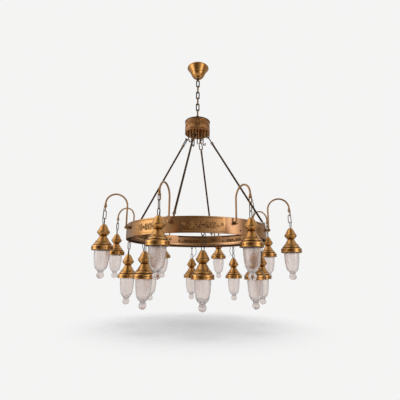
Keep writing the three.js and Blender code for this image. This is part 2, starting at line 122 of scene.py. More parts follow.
# %% Places from the CAD model
joints = {joint["name"]: joint for joint in frame["joints"]}


def pivot_of(lantern):
    tier, number = lantern.split("_")
    return Vector(joints[f"{tier}_swing_{number}"]["pos_m"])


def spoke(degrees):
    return radians(degrees - 90)


COUNT = 8
ARM_ANGLES = [-18 + 45 * i for i in range(COUNT)]
UNDER_ANGLES = [4.5 + 45 * i for i in range(COUNT)]
STAY_ANGLES = [-16 + 90 * i for i in range(4)]
low, top = (corner.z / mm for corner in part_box("drum_shell"))
RING_TOP = low - 598
ARM_HEIGHT = RING_TOP - 27
DROP_RADIUS = 530
UNDER_RADIUS = 383.5
print("drum", round(top, 1), round(low, 1), "ring", round(RING_TOP, 1), "hook", pivot_of("upper_1"))

# %% [markdown]
# ## Working by hand in code
# An operator acts on all that is selected, so everything is let go first. A finished
# piece keeps its place in its mesh, and its object stays at the origin.

# %% Small helpers
def let_go():
    if bpy.context.mode != "OBJECT":
        leave_edit()
    bpy.ops.object.select_all(action="DESELECT")


def leave_edit():
    bpy.ops.object.mode_set(mode="OBJECT")


def pick(piece):
    let_go()
    piece.select_set(True)
    bpy.context.view_layer.objects.active = piece
    return piece


def named(name):
    piece = bpy.context.object
    piece.name = name
    piece.data.name = name
    return piece


def edit(piece, how="SELECT"):
    pick(piece)
    bpy.ops.object.mode_set(mode="EDIT")
    bpy.ops.mesh.select_all(action=how)


def face_out(piece):
    """Turn all faces outward, and leave edit mode."""
    edit(piece)
    bpy.ops.mesh.normals_make_consistent(inside=False)
    leave_edit()
    return piece


def settle(piece):
    pick(piece)
    bpy.ops.object.transform_apply(location=True, rotation=True, scale=True)
    return piece


def placed(piece, spot=(0, 0, 0), turned=(0, 0, 0)):
    """Put a piece at a spot in millimetres, turned by radians about X, Y and Z."""
    piece.rotation_euler = turned
    piece.location = [c * mm for c in spot]
    return settle(piece)


def smooth(piece, degrees=32):
    pick(piece)
    bpy.ops.object.shade_smooth_by_angle(angle=radians(degrees))
    return piece


def choose(piece, test):
    """Select the vertices for which test(place) holds, and stay in edit mode."""
    edit(piece, "DESELECT")
    bpy.ops.mesh.select_mode(type="VERT")
    leave_edit()
    for vertex in piece.data.vertices:
        vertex.select = bool(test(vertex.co))
    bpy.ops.object.mode_set(mode="EDIT")


def shift(piece, step, test=lambda co: True):
    """Move the vertices for which test(place) holds by a step in millimetres."""
    choose(piece, test)
    bpy.ops.transform.translate(value=[c * mm for c in step])
    leave_edit()
    return piece


def apply_modifier(piece, kind, **values):
    pick(piece)
    modifier = piece.modifiers.new(kind.title(), kind)
    for key, value in values.items():
        setattr(modifier, key, value)
    bpy.ops.object.modifier_apply(modifier=modifier.name)
    return piece


def copied(model, name, turned=0, spot=(0, 0, 0)):
    """A copy of a model, turned by radians about Z and moved to a spot in metres."""
    piece = model.copy()
    piece.data = model.data.copy()
    piece.name = name
    piece.data.name = name
    bpy.context.collection.objects.link(piece)
    piece.rotation_euler = (0, 0, turned)
    piece.location = spot
    return settle(piece)


def join(pieces, name):
    pick(pieces[0])
    for piece in pieces:
        piece.select_set(True)
    bpy.ops.object.join()
    return named(name)


def report(piece):
    size = [round(d / mm, 1) for d in piece.dimensions]
    print(f"{piece.name}: {len(piece.data.polygons)} faces, {size} mm")


def drop(*pieces):
    for piece in pieces:
        mesh = piece.data
        bpy.data.objects.remove(piece)
        bpy.data.meshes.remove(mesh)


# %% [markdown]
# ## Turned pieces
# Spun metal and blown glass are round about one axis. A circle is extruded ring by ring
# and each ring is scaled to the profile's radius there, as one would by hand. Spin would
# do the same, but this way each ring's radius can be read in the list of the profile.

# %% Turning a profile
LEAST = 0.05


def run(*points, steps=3):
    """Points of a smooth curve through the given points."""
    ends = [points[0], *points, points[-1]]
    curve = []
    for a, b, c, d in zip(ends, ends[1:], ends[2:], ends[3:]):
        for i in range(steps):
            t = i / steps
            curve.append(tuple(
                0.5 * (2 * q + (r - p) * t + (2 * p - 5 * q + 4 * r - s) * t * t
                       + (3 * q - p - 3 * r + s) * t ** 3)
                for p, q, r, s in zip(a, b, c, d)))
    return [*curve, points[-1]]


def turn(name, stations, segments=48, closed=False, base=0):
    """A shell through rings of (radius, height over the base). A closed one ends in two points."""
    stations = [(radius, base + height) for radius, height in stations]
    rings = stations[:1]
    for ring in stations[1:]:
        if dist(ring, rings[-1]) > 1e-4:
            rings.append(ring)
    let_go()
    radius, height = rings[0]
    bpy.ops.mesh.primitive_circle_add(vertices=segments, radius=max(radius, LEAST) * mm)
    piece = named(name)
    edit(piece)
    bpy.ops.transform.translate(value=(0, 0, height * mm))
    for next_radius, next_height in rings[1:]:
        step = (0, 0, (next_height - height) * mm)
        bpy.ops.mesh.extrude_region_move(TRANSFORM_OT_translate={"value": step})
        k = max(next_radius, LEAST) / max(radius, LEAST)
        if abs(k - 1) > 1e-6:
            bpy.ops.transform.resize(value=(k, k, 1), center_override=(0, 0, next_height * mm))
        radius, height = next_radius, next_height
    if closed:
        bpy.ops.mesh.merge(type="CENTER")
        first = rings[0][1] * mm
        choose(piece, lambda co: co.xy.length < 0.06 * mm and abs(co.z - first) < 1e-6)
        bpy.ops.mesh.merge(type="CENTER")
    return face_out(piece)


# %% [markdown]
# ## Wires and tubes
# A wire is a curve with a round bevel, made a mesh at the end. Its bends are arcs with
# many short steps, so hooks and eyes look bent and not folded. Eyes and links are tori.

# %% Bending wire
def arc(middle, radius, first, last, steps=10):
    """Points of an arc in the XZ plane; degrees count from +X towards +Z."""
    points = []
    for i in range(steps + 1):
        angle = radians(first + (last - first) * i / steps)
        points.append((middle[0] + radius * cos(angle), 0, middle[1] + radius * sin(angle)))
    return points


def wire(name, points, radius, rounds=3):
    let_go()
    bpy.ops.curve.primitive_nurbs_path_add()
    piece = named(name)
    curve = piece.data
    curve.splines.clear()
    spline = curve.splines.new("POLY")
    spline.points.add(len(points) - 1)
    for point, place in zip(spline.points, points):
        point.co = (place[0] * mm, place[1] * mm, place[2] * mm, 1)
    curve.bevel_depth = radius * mm
    curve.bevel_resolution = rounds
    curve.use_fill_caps = True
    pick(piece)
    bpy.ops.object.convert(target="MESH")
    return smooth(bpy.context.object, 50)


def torus(name, radius, thickness, height=0, turned=(pi / 2, 0, 0), segments=(36, 14)):
    """A ring of wire; both radii and the height of its middle are in millimetres."""
    let_go()
    bpy.ops.mesh.primitive_torus_add(
        major_segments=segments[0], minor_segments=segments[1], major_radius=radius * mm,
        minor_radius=thickness * mm, location=(0, 0, height * mm), rotation=turned)
    return settle(named(name))


def oval_link(name, length, width, thickness):
    """An oval link of wire in the XZ plane: a torus whose halves are pulled apart."""
    piece = torus(name, width / 2 - thickness, thickness, segments=(40, 14))
    for side in (1, -1):
        shift(piece, (0, 0, side * (length - width) / 2), lambda co: side * co.z > 1e-5)
    return smooth(piece, 60)


def staple(name, legs, bend, half_width=6, radius=2):
    """A U of wire in the XZ plane, from its legs' ends to the far side of its bend."""
    up = copysign(1, legs - bend)
    bow = arc((0, bend + up * half_width), half_width, 180, 360 if up > 0 else 0, 14)
    return wire(name, [(-half_width, 0, legs), *bow, (half_width, 0, legs)], radius)


# %% [markdown]
# ## Aged metal
# The brass was antiqued: dark in the grooves, rubbed bright on the edges and mottled in
# between, with a faint copper and lilac cast on the ring. One group of nodes makes this
# from the place on the piece and from two attributes that the modelling writes:
# grime_and_shade, where dirt settles and, on some pieces, painted shade, and
# polish_and_highlight, where hands and cloths rub and, on some pieces, a painted
# highlight. Each finish sets its colours.

# %% The aged metal group
COLOUR, NUMBER = "NodeSocketColor", "NodeSocketFloat"


def new_group(name, inputs, outputs):
    group = bpy.data.node_groups.new(name, "ShaderNodeTree")
    for label, value in inputs.items():
        kind = COLOUR if isinstance(value, tuple) else NUMBER
        socket = group.interface.new_socket(name=label, in_out="INPUT", socket_type=kind)
        socket.default_value = value
    for label, kind in outputs.items():
        group.interface.new_socket(name=label, in_out="OUTPUT", socket_type=kind)
    return group


class Nodes:
    """A short way to add nodes and join them."""

    def __init__(self, tree):
        self.tree = tree

    def add(self, kind, settings=(), *values, **inputs):
        node = self.tree.nodes.new(kind)
        for key, value in dict(settings).items():
            setattr(node, key, value)
        for socket, value in zip(node.inputs, values):
            self.feed(socket, value)
        return self.give(node, **inputs)

    def give(self, node, **inputs):
        for key, value in inputs.items():
            self.feed(node.inputs[key.replace("_", " ")], value)
        return node

    def feed(self, socket, value):
        if isinstance(value, bpy.types.NodeSocket):
            self.tree.links.new(value, socket)
        else:
            socket.default_value = value

    def math(self, operation, a, b=0, c=0, clamp=False):
        return self.add("ShaderNodeMath", {"operation": operation, "use_clamp": clamp}, a, b, c).outputs[0]

    def times(self, a, b):
        return self.math("MULTIPLY", a, b)

    def span(self, value, low, high, to_low=0, to_high=1):
        smooth_step = {"interpolation_type": "SMOOTHSTEP"}
        return self.add("ShaderNodeMapRange", smooth_step, value, low, high, to_low, to_high).outputs[0]

    def mix(self, share, a, b):
        return self.add("ShaderNodeMix", {"data_type": "RGBA"}, Factor=share, A=a, B=b).outputs["Result"]

    def noise(self, place, scale, detail=3, roughness=0.55):
        node = self.add("ShaderNodeTexNoise", Vector=place, Scale=scale, Detail=detail, Roughness=roughness)
        return node.outputs["Fac"]

    def attribute(self, name):
        return self.add("ShaderNodeAttribute", {"attribute_name": name}).outputs["Fac"]

    def place(self):
        return self.add("ShaderNodeTexCoord").outputs["Object"]

    def relief(self, height, strength, distance):
        bump = self.add("ShaderNodeBump", Strength=strength, Distance=distance * mm, Height=height)
        return bump.outputs["Normal"]


aged = new_group(
    "Aged metal",
    {"Metal": (0.44, 0.25, 0.085, 1), "Bright": (0.7, 0.47, 0.22, 1), "Cast": (0.4, 0.2, 0.13, 1),
     "Dirt": (0.035, 0.018, 0.008, 1), "Blotch scale": 16, "Cast amount": 0.3, "Dirt amount": 0.5,
     "Smoothness": 0.3},
    {"Color": COLOUR, "Roughness": NUMBER, "Height": NUMBER})
g = Nodes(aged)
given = g.add("NodeGroupInput").outputs
place = g.place()
blotch = g.noise(place, given["Blotch scale"], 4, 0.6)
cloud = g.noise(place, g.times(given["Blotch scale"], 0.35), 2, 0.5)
fleck = g.noise(place, g.times(given["Blotch scale"], 14), 3, 0.65)
grime_and_shade = g.attribute("grime_and_shade")
polish_and_highlight = g.attribute("polish_and_highlight")
tone = g.mix(g.span(blotch, 0.35, 0.75, 0, 0.35), given["Metal"], given["Bright"])
tone = g.mix(g.times(g.span(cloud, 0.4, 0.66), given["Cast amount"]), tone, given["Cast"])
bright_wear_and_highlight = g.times(polish_and_highlight, g.span(fleck, 0.3, 0.6, 0.5, 1))
# The bright colour goes where the metal is rubbed, and on some pieces where a highlight is painted.
tone = g.mix(g.times(bright_wear_and_highlight, 0.75), tone, given["Bright"])
spots = g.times(g.span(fleck, 0.52, 0.8), given["Dirt amount"])
edge = g.math("MULTIPLY_ADD", g.math("SUBTRACT", blotch, 0.5), 0.6, grime_and_shade)
# The dark colour goes where there is dirt, and on some pieces where shade is painted.
darkening = g.math("MAXIMUM", g.span(edge, 0.18, 0.9), g.times(spots, 0.55), clamp=True)
darkening = g.times(darkening, g.math("SUBTRACT", 1, g.times(bright_wear_and_highlight, 0.7)))
tone = g.mix(darkening, tone, given["Dirt"])
rough = g.math("MULTIPLY_ADD", g.math("SUBTRACT", blotch, 0.5), 0.22, given["Smoothness"])
rough = g.math("MULTIPLY_ADD", darkening, 0.3, rough)
rough = g.math("MULTIPLY_ADD", bright_wear_and_highlight, -0.08, rough, clamp=True)
height = g.math("MULTIPLY_ADD", fleck, 0.5, g.times(blotch, 0.35))
g.add("NodeGroupOutput", Color=tone, Roughness=rough, Height=height)
print("aged metal group:", len(aged.nodes), "nodes")

# %% [markdown]
# ## Lathe marks
# Spun pieces keep the fine rings of the tool that pressed the sheet over its form. They
# are noise that is squeezed along the axis, so it changes fast in height and hardly round
# the piece.

# %% The lathe mark group
lathe = new_group("Lathe marks", {"Rings per metre": 260}, {"Height": NUMBER})
g = Nodes(lathe)
given = g.add("NodeGroupInput").outputs
parts = g.add("ShaderNodeSeparateXYZ", Vector=g.place()).outputs
squeezed = g.add("ShaderNodeCombineXYZ", X=g.times(parts["X"], 4), Y=g.times(parts["Y"], 4),
                 Z=g.times(parts["Z"], given["Rings per metre"])).outputs[0]
g.add("NodeGroupOutput", Height=g.noise(squeezed, 1, 2, 0.7))


# %% The metal finishes
def new_material(name):
    material = bpy.data.materials.new(name)
    material.use_nodes = True
    return material, Nodes(material.node_tree), material.node_tree.nodes["Principled BSDF"]


def metal(name, colours, blotch_scale, cast, darkening, smoothness, rings=0, bump=0.12):
    """Colours are the metal itself, its bright tone where it is rubbed and where a highlight is painted, its
    cast, and its dark tone for dirt and painted shade.
    """
    material, n, shader = new_material(name)
    plain, bright, cast_colour, dark_colour = [(*colour, 1) for colour in colours]
    age = n.add("ShaderNodeGroup", {"node_tree": aged})
    n.give(age, Metal=plain, Bright=bright, Cast=cast_colour, Dirt=dark_colour, Blotch_scale=blotch_scale,
           Cast_amount=cast, Dirt_amount=darkening, Smoothness=smoothness)
    height = age.outputs["Height"]
    if rings:
        marks = n.add("ShaderNodeGroup", {"node_tree": lathe})
        height = n.math("MULTIPLY_ADD", marks.outputs["Height"], rings, height)
    n.give(shader, Base_Color=age.outputs["Color"], Roughness=age.outputs["Roughness"],
           Normal=n.relief(height, bump, 0.4), Metallic=1)
    return material


aged_yellow_brass = metal(
    "aged_yellow_brass",
    [(0.43, 0.208, 0.058), (0.65, 0.385, 0.155), (0.31, 0.14, 0.045), (0.03, 0.012, 0.003)],
    22, 0.35, 0.35, 0.22, rings=0.7, bump=0.045)
aged_copper_brass = metal(
    "aged_copper_brass",
    [(0.385, 0.19, 0.07), (0.58, 0.34, 0.17), (0.355, 0.19, 0.115), (0.05, 0.02, 0.009)],
    11, 0.75, 0.5, 0.31)
embossed_brass = metal(
    "embossed_brass",
    [(0.26, 0.115, 0.042), (0.48, 0.25, 0.095), (0.28, 0.12, 0.065), (0.03, 0.013, 0.006)],
    18, 0.7, 0.3, 0.46, bump=0.08)
engraved_brass = metal(
    "engraved_brass",
    [(0.41, 0.205, 0.07), (0.58, 0.34, 0.15), (0.375, 0.19, 0.09), (0.03, 0.013, 0.005)],
    11, 0.6, 0.5, 0.31)
# Inside the drum the brass is painted much lighter: painted light where the inside lies in shade.
inside_brass_painted_light = metal(
    "inside_brass_painted_light",
    [(0.80, 0.57, 0.34), (0.88, 0.68, 0.44), (0.72, 0.47, 0.27), (0.2, 0.11, 0.06)],
    30, 0.4, 0.3, 0.6, bump=0.1)
dark_wire_brass = metal(
    "dark_wire_brass",
    [(0.10, 0.056, 0.024), (0.36, 0.205, 0.085), (0.07, 0.036, 0.017), (0.012, 0.006, 0.003)],
    45, 0.5, 0.6, 0.40)
gooseneck_brass = metal(
    "gooseneck_brass",
    [(0.28, 0.15, 0.06), (0.48, 0.28, 0.125), (0.22, 0.11, 0.048), (0.03, 0.015, 0.006)],
    28, 0.35, 0.4, 0.34, bump=0.08)
print("finishes:", [material.name for material in bpy.data.materials])


def stripes(height, *rows):
    """Soft stripes round a piece, each an amount, a height and a width."""
    return sum(amount * np.exp(-((height - middle) / width) ** 2) for amount, middle, width in rows)


def write_layer(piece, name, value):
    layer = piece.data.attributes.get(name) or piece.data.attributes.new(name, "FLOAT", "POINT")
    value = np.broadcast_to(value, len(piece.data.vertices))
    layer.data.foreach_set("value", value.astype(np.float32))


def paint_wear_and_light(piece, grime_and_shade=0, polish_and_highlight=0):
    """Write a piece's dirt and painted shade, and its polish and painted highlight: numbers, lists
    of stripes, or functions of the place p, whose x, y, height z and distance r from the axis are in
    millimetres."""
    x, y, z = np.array([vertex.co for vertex in piece.data.vertices]).T / mm
    p = SimpleNamespace(x=x, y=y, z=z, r=np.hypot(x, y))
    for name, value in (("grime_and_shade", grime_and_shade), ("polish_and_highlight", polish_and_highlight)):
        value = stripes(z, *value) if isinstance(value, list) else value
        write_layer(piece, name, np.clip(value(p) if callable(value) else value, 0, 1))
    return piece


def dress(piece, material, body, slot, *nodes):
    piece.data.materials.clear()
    piece.data.materials.append(material)
    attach(piece, body)
    if nodes:
        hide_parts(*nodes)
    return piece


# %% [markdown]
# ## Canopy
# The cup against the ceiling is spun from brass sheet: a rolled rim, a nearly straight
# flare, a groove half way down and a rounded bowl. The outer skin is turned, then given
# the thickness of the sheet. A strap inside carries the chain's loop on a threaded shank.

# %% Canopy, collar and strap
canopy_line = [
    *run((69.2, -0.6), (70, -1.6), (69.9, -3.4), (68.6, -4.8), (66.6, -6.2)),
    *run((66.6, -6.2), (62.6, -13), (57.4, -21.5), (51.6, -31.5), (46.6, -40.6), steps=5),
    *run((46.6, -40.6), (45.5, -41.8), (44.8, -42.8), (45, -43.9), (45.4, -44.9), steps=2),
    *run((45.4, -44.9), (43.4, -49.5), (39.4, -56.7), (34.9, -63.2), (29.6, -68.6), (23.4, -72.8),
         (17.6, -75.6), steps=5),
    (10.5, -76.8), (4.6, -76.8)]
canopy = turn("spun_canopy", canopy_line, 72)
apply_modifier(canopy, "SOLIDIFY", thickness=1.6 * mm, offset=-1)
smooth(canopy)
paint_wear_and_light(canopy,
     grime_and_shade=lambda p: stripes(p.z, (0.95, -42.8, 1.1), (0.25, -6, 2)) + 0.16 * (p.z > -40),
     polish_and_highlight=[(0.7, -2.2, 1.6), (0.6, -45.2, 1.2), (0.6, -40.3, 1)])
dress(canopy, aged_yellow_brass, "ceiling", "antique_brass", "canopy")

collar = turn("knurled_collar", [
    (4.6, -76.4), (13.4, -76.4), (13.9, -77), (13, -78.4), (11.2, -80.2), (9.8, -81.2), (4.6, -81.4),
    (4.6, -76.4)], 32)
choose(collar, lambda co: co.xy.length > 12 * mm and round(atan2(co.y, co.x) / pi * 16) % 2)
bpy.ops.transform.resize(value=(0.96, 0.96, 1), center_override=(0, 0, -77 * mm))
leave_edit()
smooth(collar, 25)
paint_wear_and_light(collar, grime_and_shade=lambda p: 0.8 * (p.z < -80), polish_and_highlight=lambda p: 0.6 * (p.z > -78))
dress(collar, aged_yellow_brass, "ceiling", "dark_brass", "canopy_collar")

let_go()
bpy.ops.mesh.primitive_cube_add(size=1)
plate = named("strap_plate")
plate.scale = (100 * mm, 22 * mm, 3 * mm)
placed(plate, (0, 0, -1.5))
edit(plate)
bpy.ops.mesh.select_mode(type="EDGE")
bpy.ops.mesh.select_all(action="SELECT")
bpy.ops.mesh.bevel(offset=0.7 * mm, segments=2)
leave_edit()
LOOP_MIDDLE = -98.1 + 8
shank = turn("strap_shank", [(4, -2.5), (4, -78.8), (3.4, -79.4), (3.4, LOOP_MIDDLE + 10)], 20, True)
strap_parts = [plate, shank, torus("strap_loop", 8, 3, LOOP_MIDDLE, (0, pi / 2, 0))]
for side in (-1, 1):
    screw = turn(f"strap_screw_{side}",
                 [(0.1, -3.1), (4.4, -3.1), (4.4, -3.9), (3.2, -5), (0.1, -5.3)], 20, True)
    shift(screw, (0, 0, 0.6), lambda co: co.z < -4.9 * mm and abs(co.x) < 0.9 * mm)
    strap_parts.append(placed(screw, (side * 38, 0, 0)))
strap = smooth(join(strap_parts, "ceiling_strap_and_loop"))
paint_wear_and_light(strap, grime_and_shade=0.35, polish_and_highlight=[(0.8, LOOP_MIDDLE - 8, 2.5)])
dress(strap, dark_wire_brass, "ceiling", "dark_brass", "ceiling_strap")
report(canopy)

# %% [markdown]
# ## Chain
# Six oval links of round wire, each turned a quarter against the last, and the whole chain
# turned a little, as it hangs in the photograph. One link is made and copied. The links
# that face the room get painted shade. The ones seen edge on get a painted brown highlight.

# %% Chain links
chain_link = oval_link("chain_link_model", 57.2, 24.6, 3.6)
CHAIN_TURN = radians(12)
for i, body in enumerate(["link_1", *["chain_middle"] * 4, "link_6"]):
    node = f"chain_link_{i + 1}"
    edge_on = i % 2
    piece = copied(chain_link, f"oval_link_{i + 1}", edge_on * pi / 2 + CHAIN_TURN,
                   sum(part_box(node), Vector()) / 2)
    # Face-on links get painted shade, and edge-on links a painted highlight.
    paint_wear_and_light(piece, grime_and_shade=0.85 - 0.65 * edge_on, polish_and_highlight=0.5 * edge_on)
    dress(piece, dark_wire_brass, body, "dark_brass", node)
drop(chain_link)

# %% [markdown]
# ## Embossed and engraved sheet
# The drum is embossed and the panels of the ring are engraved: a scroll of stems, leaves
# and rosettes stands out of the sheet or is cut into it. A flat grid is made, the pattern
# is written as a weight on its points, the Displace modifier moves it, and a bend modifier
# rolls the sheet round the axis. The pattern is the common one of a waving stem with a
# spiral in each wave. Strokes are rows of x, z and half width.

# %% Scroll pattern
def row(x, z, width):
    """A row of points; single numbers hold for all of them."""
    return np.stack(np.broadcast_arrays(np.atleast_1d(x), z, width), 1).astype(float)


def spiral(middle, radius, start, turns, hand, width=None):
    """A spiral from its outer end in, which thins out unless a half width is given."""
    t = np.linspace(0, 1, 46)
    angle = np.radians(start) + hand * turns * 2 * np.pi * t
    reach = radius * (1 - 0.82 * t)
    return row(middle[0] + reach * np.cos(angle), middle[1] + reach * np.sin(angle), width or 1.25 - 0.5 * t)


def level_stroke(x0, x1, z, width):
    return row(np.linspace(x0, x1, max(2, int(abs(x1 - x0) / 0.6))), z, width)


def leaf(root, angle, length, width):
    """A pointed leaf, widest a third of the way along."""
    t = np.linspace(0, 1, 12)
    swell = width * np.sin(np.pi * t ** 0.7)
    angle = radians(angle)
    return row(root[0] + length * t * cos(angle), root[1] + length * t * sin(angle),
               np.maximum(swell, 0.3))


def rosette(middle, radius, petals=8):
    rows = [row(*middle, radius * 0.42)]
    for i in range(petals):
        rows.append(leaf(middle, 360 * i / petals, radius, radius * 0.2))
    return np.concatenate(rows)


def relief_of(strokes, x, z):
    """How far each point stands out, 0 to 1, from the nearest stroke."""
    strokes = np.concatenate(strokes)
    best = np.zeros(len(x))
    for first in range(0, len(strokes), 60):
        part = strokes[first:first + 60]
        away = np.hypot(x[:, None] - part[None, :, 0], z[:, None] - part[None, :, 1])
        rise = np.clip(1.9 - 1.5 * away / part[None, :, 2], 0, 1)
        best = np.maximum(best, rise.max(1))
    return best * best * (3 - 2 * best)


def worked_sheet(name, width, height, cells, strokes, depth, lines=()):
    """A flat sheet; depth above 0 raises the pattern, below 0 cuts it in. Lines are rubbed bright."""
    let_go()
    bpy.ops.mesh.primitive_grid_add(x_subdivisions=cells[0], y_subdivisions=cells[1], size=1,
                                    rotation=(pi / 2, 0, 0))
    piece = named(name)
    piece.scale = (width * mm, height * mm, 1)
    settle(piece)
    places = np.array([vertex.co for vertex in piece.data.vertices]) / mm
    x, z = places[:, 0], places[:, 2]
    rise = relief_of(strokes, x, z)
    if depth > 0:
        dark, bright = (1 - rise) ** 2 * 0.4, rise ** 2
    else:
        dark, bright = rise * (0.42 + 0.4 * np.exp(-(x / 34) ** 2)), 0 * rise
        dark = np.maximum(dark, 1.4 * rise * (z > 27))
    for line in lines:
        bright = np.maximum(bright, np.clip(2.2 - abs(x - line), 0, 1))
    weights = piece.vertex_groups.new(name="pattern")
    for index, value in enumerate(rise):
        if value > 0.002:
            weights.add([index], float(value), "REPLACE")
    write_layer(piece, "grime_and_shade", dark + 0.05)
    write_layer(piece, "polish_and_highlight", bright)
    apply_modifier(piece, "DISPLACE", strength=depth * mm, mid_level=0, vertex_group="pattern",
                   direction="NORMAL")
    piece.vertex_groups.clear()
    return piece


def rolled(piece, width, radius, height):
    """Roll a flat sheet round the axis, its middle at the front and at that height."""
    apply_modifier(piece, "SIMPLE_DEFORM", deform_method="BEND", deform_axis="Z", angle=width / radius)
    return shift(piece, (0, -radius, height))


# %% [markdown]
# ## Drum
# A short cup of embossed copper brass, open below, with a dark lip round its top. Six
# rosettes stand over six swags. The sheet is rolled to a full turn, its seam is closed,
# and it is made thick. The spider inside it is a plate with nine wire hooks.

# %% Drum shell
SKIN_RADIUS = 77.1
drum_width = 2 * pi * SKIN_RADIUS
swag_reach = drum_width / 12
swags = []
for k in range(-3, 4):
    x0 = 2 * k * swag_reach
    t = np.linspace(-1, 1, 60)
    bow = 1 - t * t
    swags += [rosette((x0, 12), 11),
              row(x0 + t * swag_reach, -4 - 15 * bow, 1.8 + 2.2 * bow),
              row(x0 + t * swag_reach, -15 - 13 * bow, 1.5)]
    for side in (-1, 1):
        swags += [spiral((x0 + side * 20, 19), 7.5, 90 - side * 60, 1.3, side),
                  spiral((x0 + side * 21, 0), 8, -90 + side * 60, 1.3, -side),
                  leaf((x0 + side * 14, -9), 90 - side * 50, 11, 2.1),
                  leaf((x0 + side * 13, 27), -90 + side * 30, 8, 1.6)]
    swags += [leaf((x0 + swag_reach, -14), 90, 22, 3), leaf((x0 + swag_reach, -14), -90, 12, 2.4)]
for level in (33.5, -34.5):
    swags.append(level_stroke(-drum_width / 2, drum_width / 2, level, 1))
drum = worked_sheet("embossed_drum", drum_width, 77, (300, 54), swags, 1.25)
rolled(drum, drum_width, SKIN_RADIUS, top - 42.5)
edit(drum)
bpy.ops.mesh.remove_doubles(threshold=0.2 * mm)
leave_edit()
apply_modifier(drum, "SOLIDIFY", thickness=1.1 * mm, offset=-1)
smooth(drum, 60)
lining = smooth(turn("drum_lining", [(75.6, low + 2), (75.6, top - 3), (70, top - 3)], 96))
paint_wear_and_light(lining, grime_and_shade=[(0.25, top - 3, 10)], polish_and_highlight=0.3)
report(drum)

lid = turn("drum_lid", [
    (5.2, -1.6), (75.8, -1.6), (75.8, -4.2), (77.6, -4.4),
    *run((78.6, -4), (79.5, -2.9), (79.5, -1.2), (78.4, -0.2), (76.5, 0)),
    (70, -0.5), (5.2, -0.3), (5.2, -1.6)], 96, base=top)
paint_wear_and_light(smooth(lid), grime_and_shade=0.75, polish_and_highlight=[(0.25, top - 2, 1.2)])
hem = turn("drum_hem", [
    *run((77.2, 3.6), (78.3, 2.6), (78.7, 1.4), (78, 0.3), (76.8, 0), (75.8, 0.6), (75.6, 2.2), (76, 3.6),
         steps=2),
    (77.2, 3.6)], 96, base=low)
paint_wear_and_light(smooth(hem, 50), grime_and_shade=0.3, polish_and_highlight=[(0.5, low + 1.4, 1.2)])

# %% Spider of hooks
HOOK_WIRE, HOOK_BEND = 3.2, 8
EYE_MIDDLE = -348 - 9
plate_line = [(0.1, -6.3), (71, -6.3), (72, -5.3), (72, -2.8), (71.2, -2.4), (0.1, -2.4)]
spider_plate = turn("spider_plate", plate_line, 72, True, base=top)
paint_wear_and_light(smooth(spider_plate), grime_and_shade=0.1)
nut_line = [(5, 0.2), (9.4, 0.2), (10, 0.9), (10, 6), (9.4, 6.6), (5, 6.6), (5, 0.2)]
spider_parts = [
    turn("spider_shank", [(5, top - 4), (5, top + 22), (3.6, EYE_MIDDLE - 9)], 24, True),
    turn("spider_nut", nut_line, 6, base=top),
    torus("spider_eye", 9, 3, EYE_MIDDLE)]


def hook(name, reach, depth, degrees):
    """A wire hook whose bend lies that deep under the drum."""
    bottom = low - depth
    inner = reach - HOOK_BEND
    points = [(inner, 0, top - 5), (inner, 0, low + 2), (inner, 0, bottom + 20),
              *arc((reach, bottom + HOOK_BEND), HOOK_BEND, 180, 360), (reach + HOOK_BEND, 0, bottom + 15.5)]
    return placed(wire(name, points, HOOK_WIRE), turned=(0, 0, spoke(degrees)))


for i, degrees in enumerate(STAY_ANGLES):
    spider_parts.append(hook(f"stay_hook_{i}", 68, 35, degrees))
    spider_parts.append(hook(f"spare_hook_{i}", 50, 65, degrees + 45))
spider_parts.append(hook("middle_hook", 0, 65, 0))
spider = smooth(join(spider_parts, "wire_hook_spider"), 40)
paint_wear_and_light(spider, grime_and_shade=0.5, polish_and_highlight=0.25)
choose(spider, lambda co: low + 1 < co.z / mm < top and co.xy.length > 7 * mm)
before = set(bpy.data.objects)
bpy.ops.mesh.separate(type="SELECTED")
leave_edit()
pick((set(bpy.data.objects) - before).pop())
shanks = paint_wear_and_light(named("hook_shanks"), grime_and_shade=0.3, polish_and_highlight=0.2)
report(spider)

# %% [markdown]
# ## Stays
# Four rods run from the drum down to the ring. Each is a square bar twisted like a rope:
# a circle of four points with its corners rounded, extruded in short steps and turned a
# little at each. A closed eye at each end hangs in a link above and on a hook below.

# %% Twisted stay
STAY_FROM = Vector((68, 0, low - 27))
STAY_TO = Vector((389.2, 0, RING_TOP + 10))
stay_length = (STAY_TO - STAY_FROM).length
stay_tilt = atan2(STAY_TO.x - STAY_FROM.x, STAY_FROM.z - STAY_TO.z)
UPPER_EYE, LOWER_EYE = 52.4, stay_length - 8.7
rod_top, rod_end = UPPER_EYE + 6, LOWER_EYE - 6

let_go()
bpy.ops.mesh.primitive_circle_add(vertices=4, radius=7 * mm)
bar = named("twisted_bar")
edit(bar)
bpy.ops.mesh.bevel(offset=2.4 * mm, segments=3, affect="VERTICES")
bpy.ops.transform.translate(value=(0, 0, -rod_top * mm))
BAR_STEP, STEP_TURN = 2.4, radians(19)
steps = round((rod_end - rod_top) / BAR_STEP)
fall = (rod_end - rod_top) / steps
for i in range(steps):
    bpy.ops.mesh.extrude_region_move(TRANSFORM_OT_translate={"value": (0, 0, -fall * mm)})
    bpy.ops.transform.rotate(value=STEP_TURN, orient_axis="Z",
                             center_override=(0, 0, -(rod_top + (i + 1) * fall) * mm))
paint_wear_and_light(face_out(bar), grime_and_shade=lambda p: 0.8 - 0.5 * (p.r > 5.7), polish_and_highlight=lambda p: 0.6 * (p.r > 5.8))
stay_parts = [bar]
for name, depth, quarter in (("upper", UPPER_EYE, 0), ("lower", LOWER_EYE, pi / 2)):
    eye = torus(f"{name}_eye", 7, 2.5, -depth, (pi / 2, 0, quarter), (32, 12))
    stay_parts.append(paint_wear_and_light(eye, grime_and_shade=0.4, polish_and_highlight=0.35))
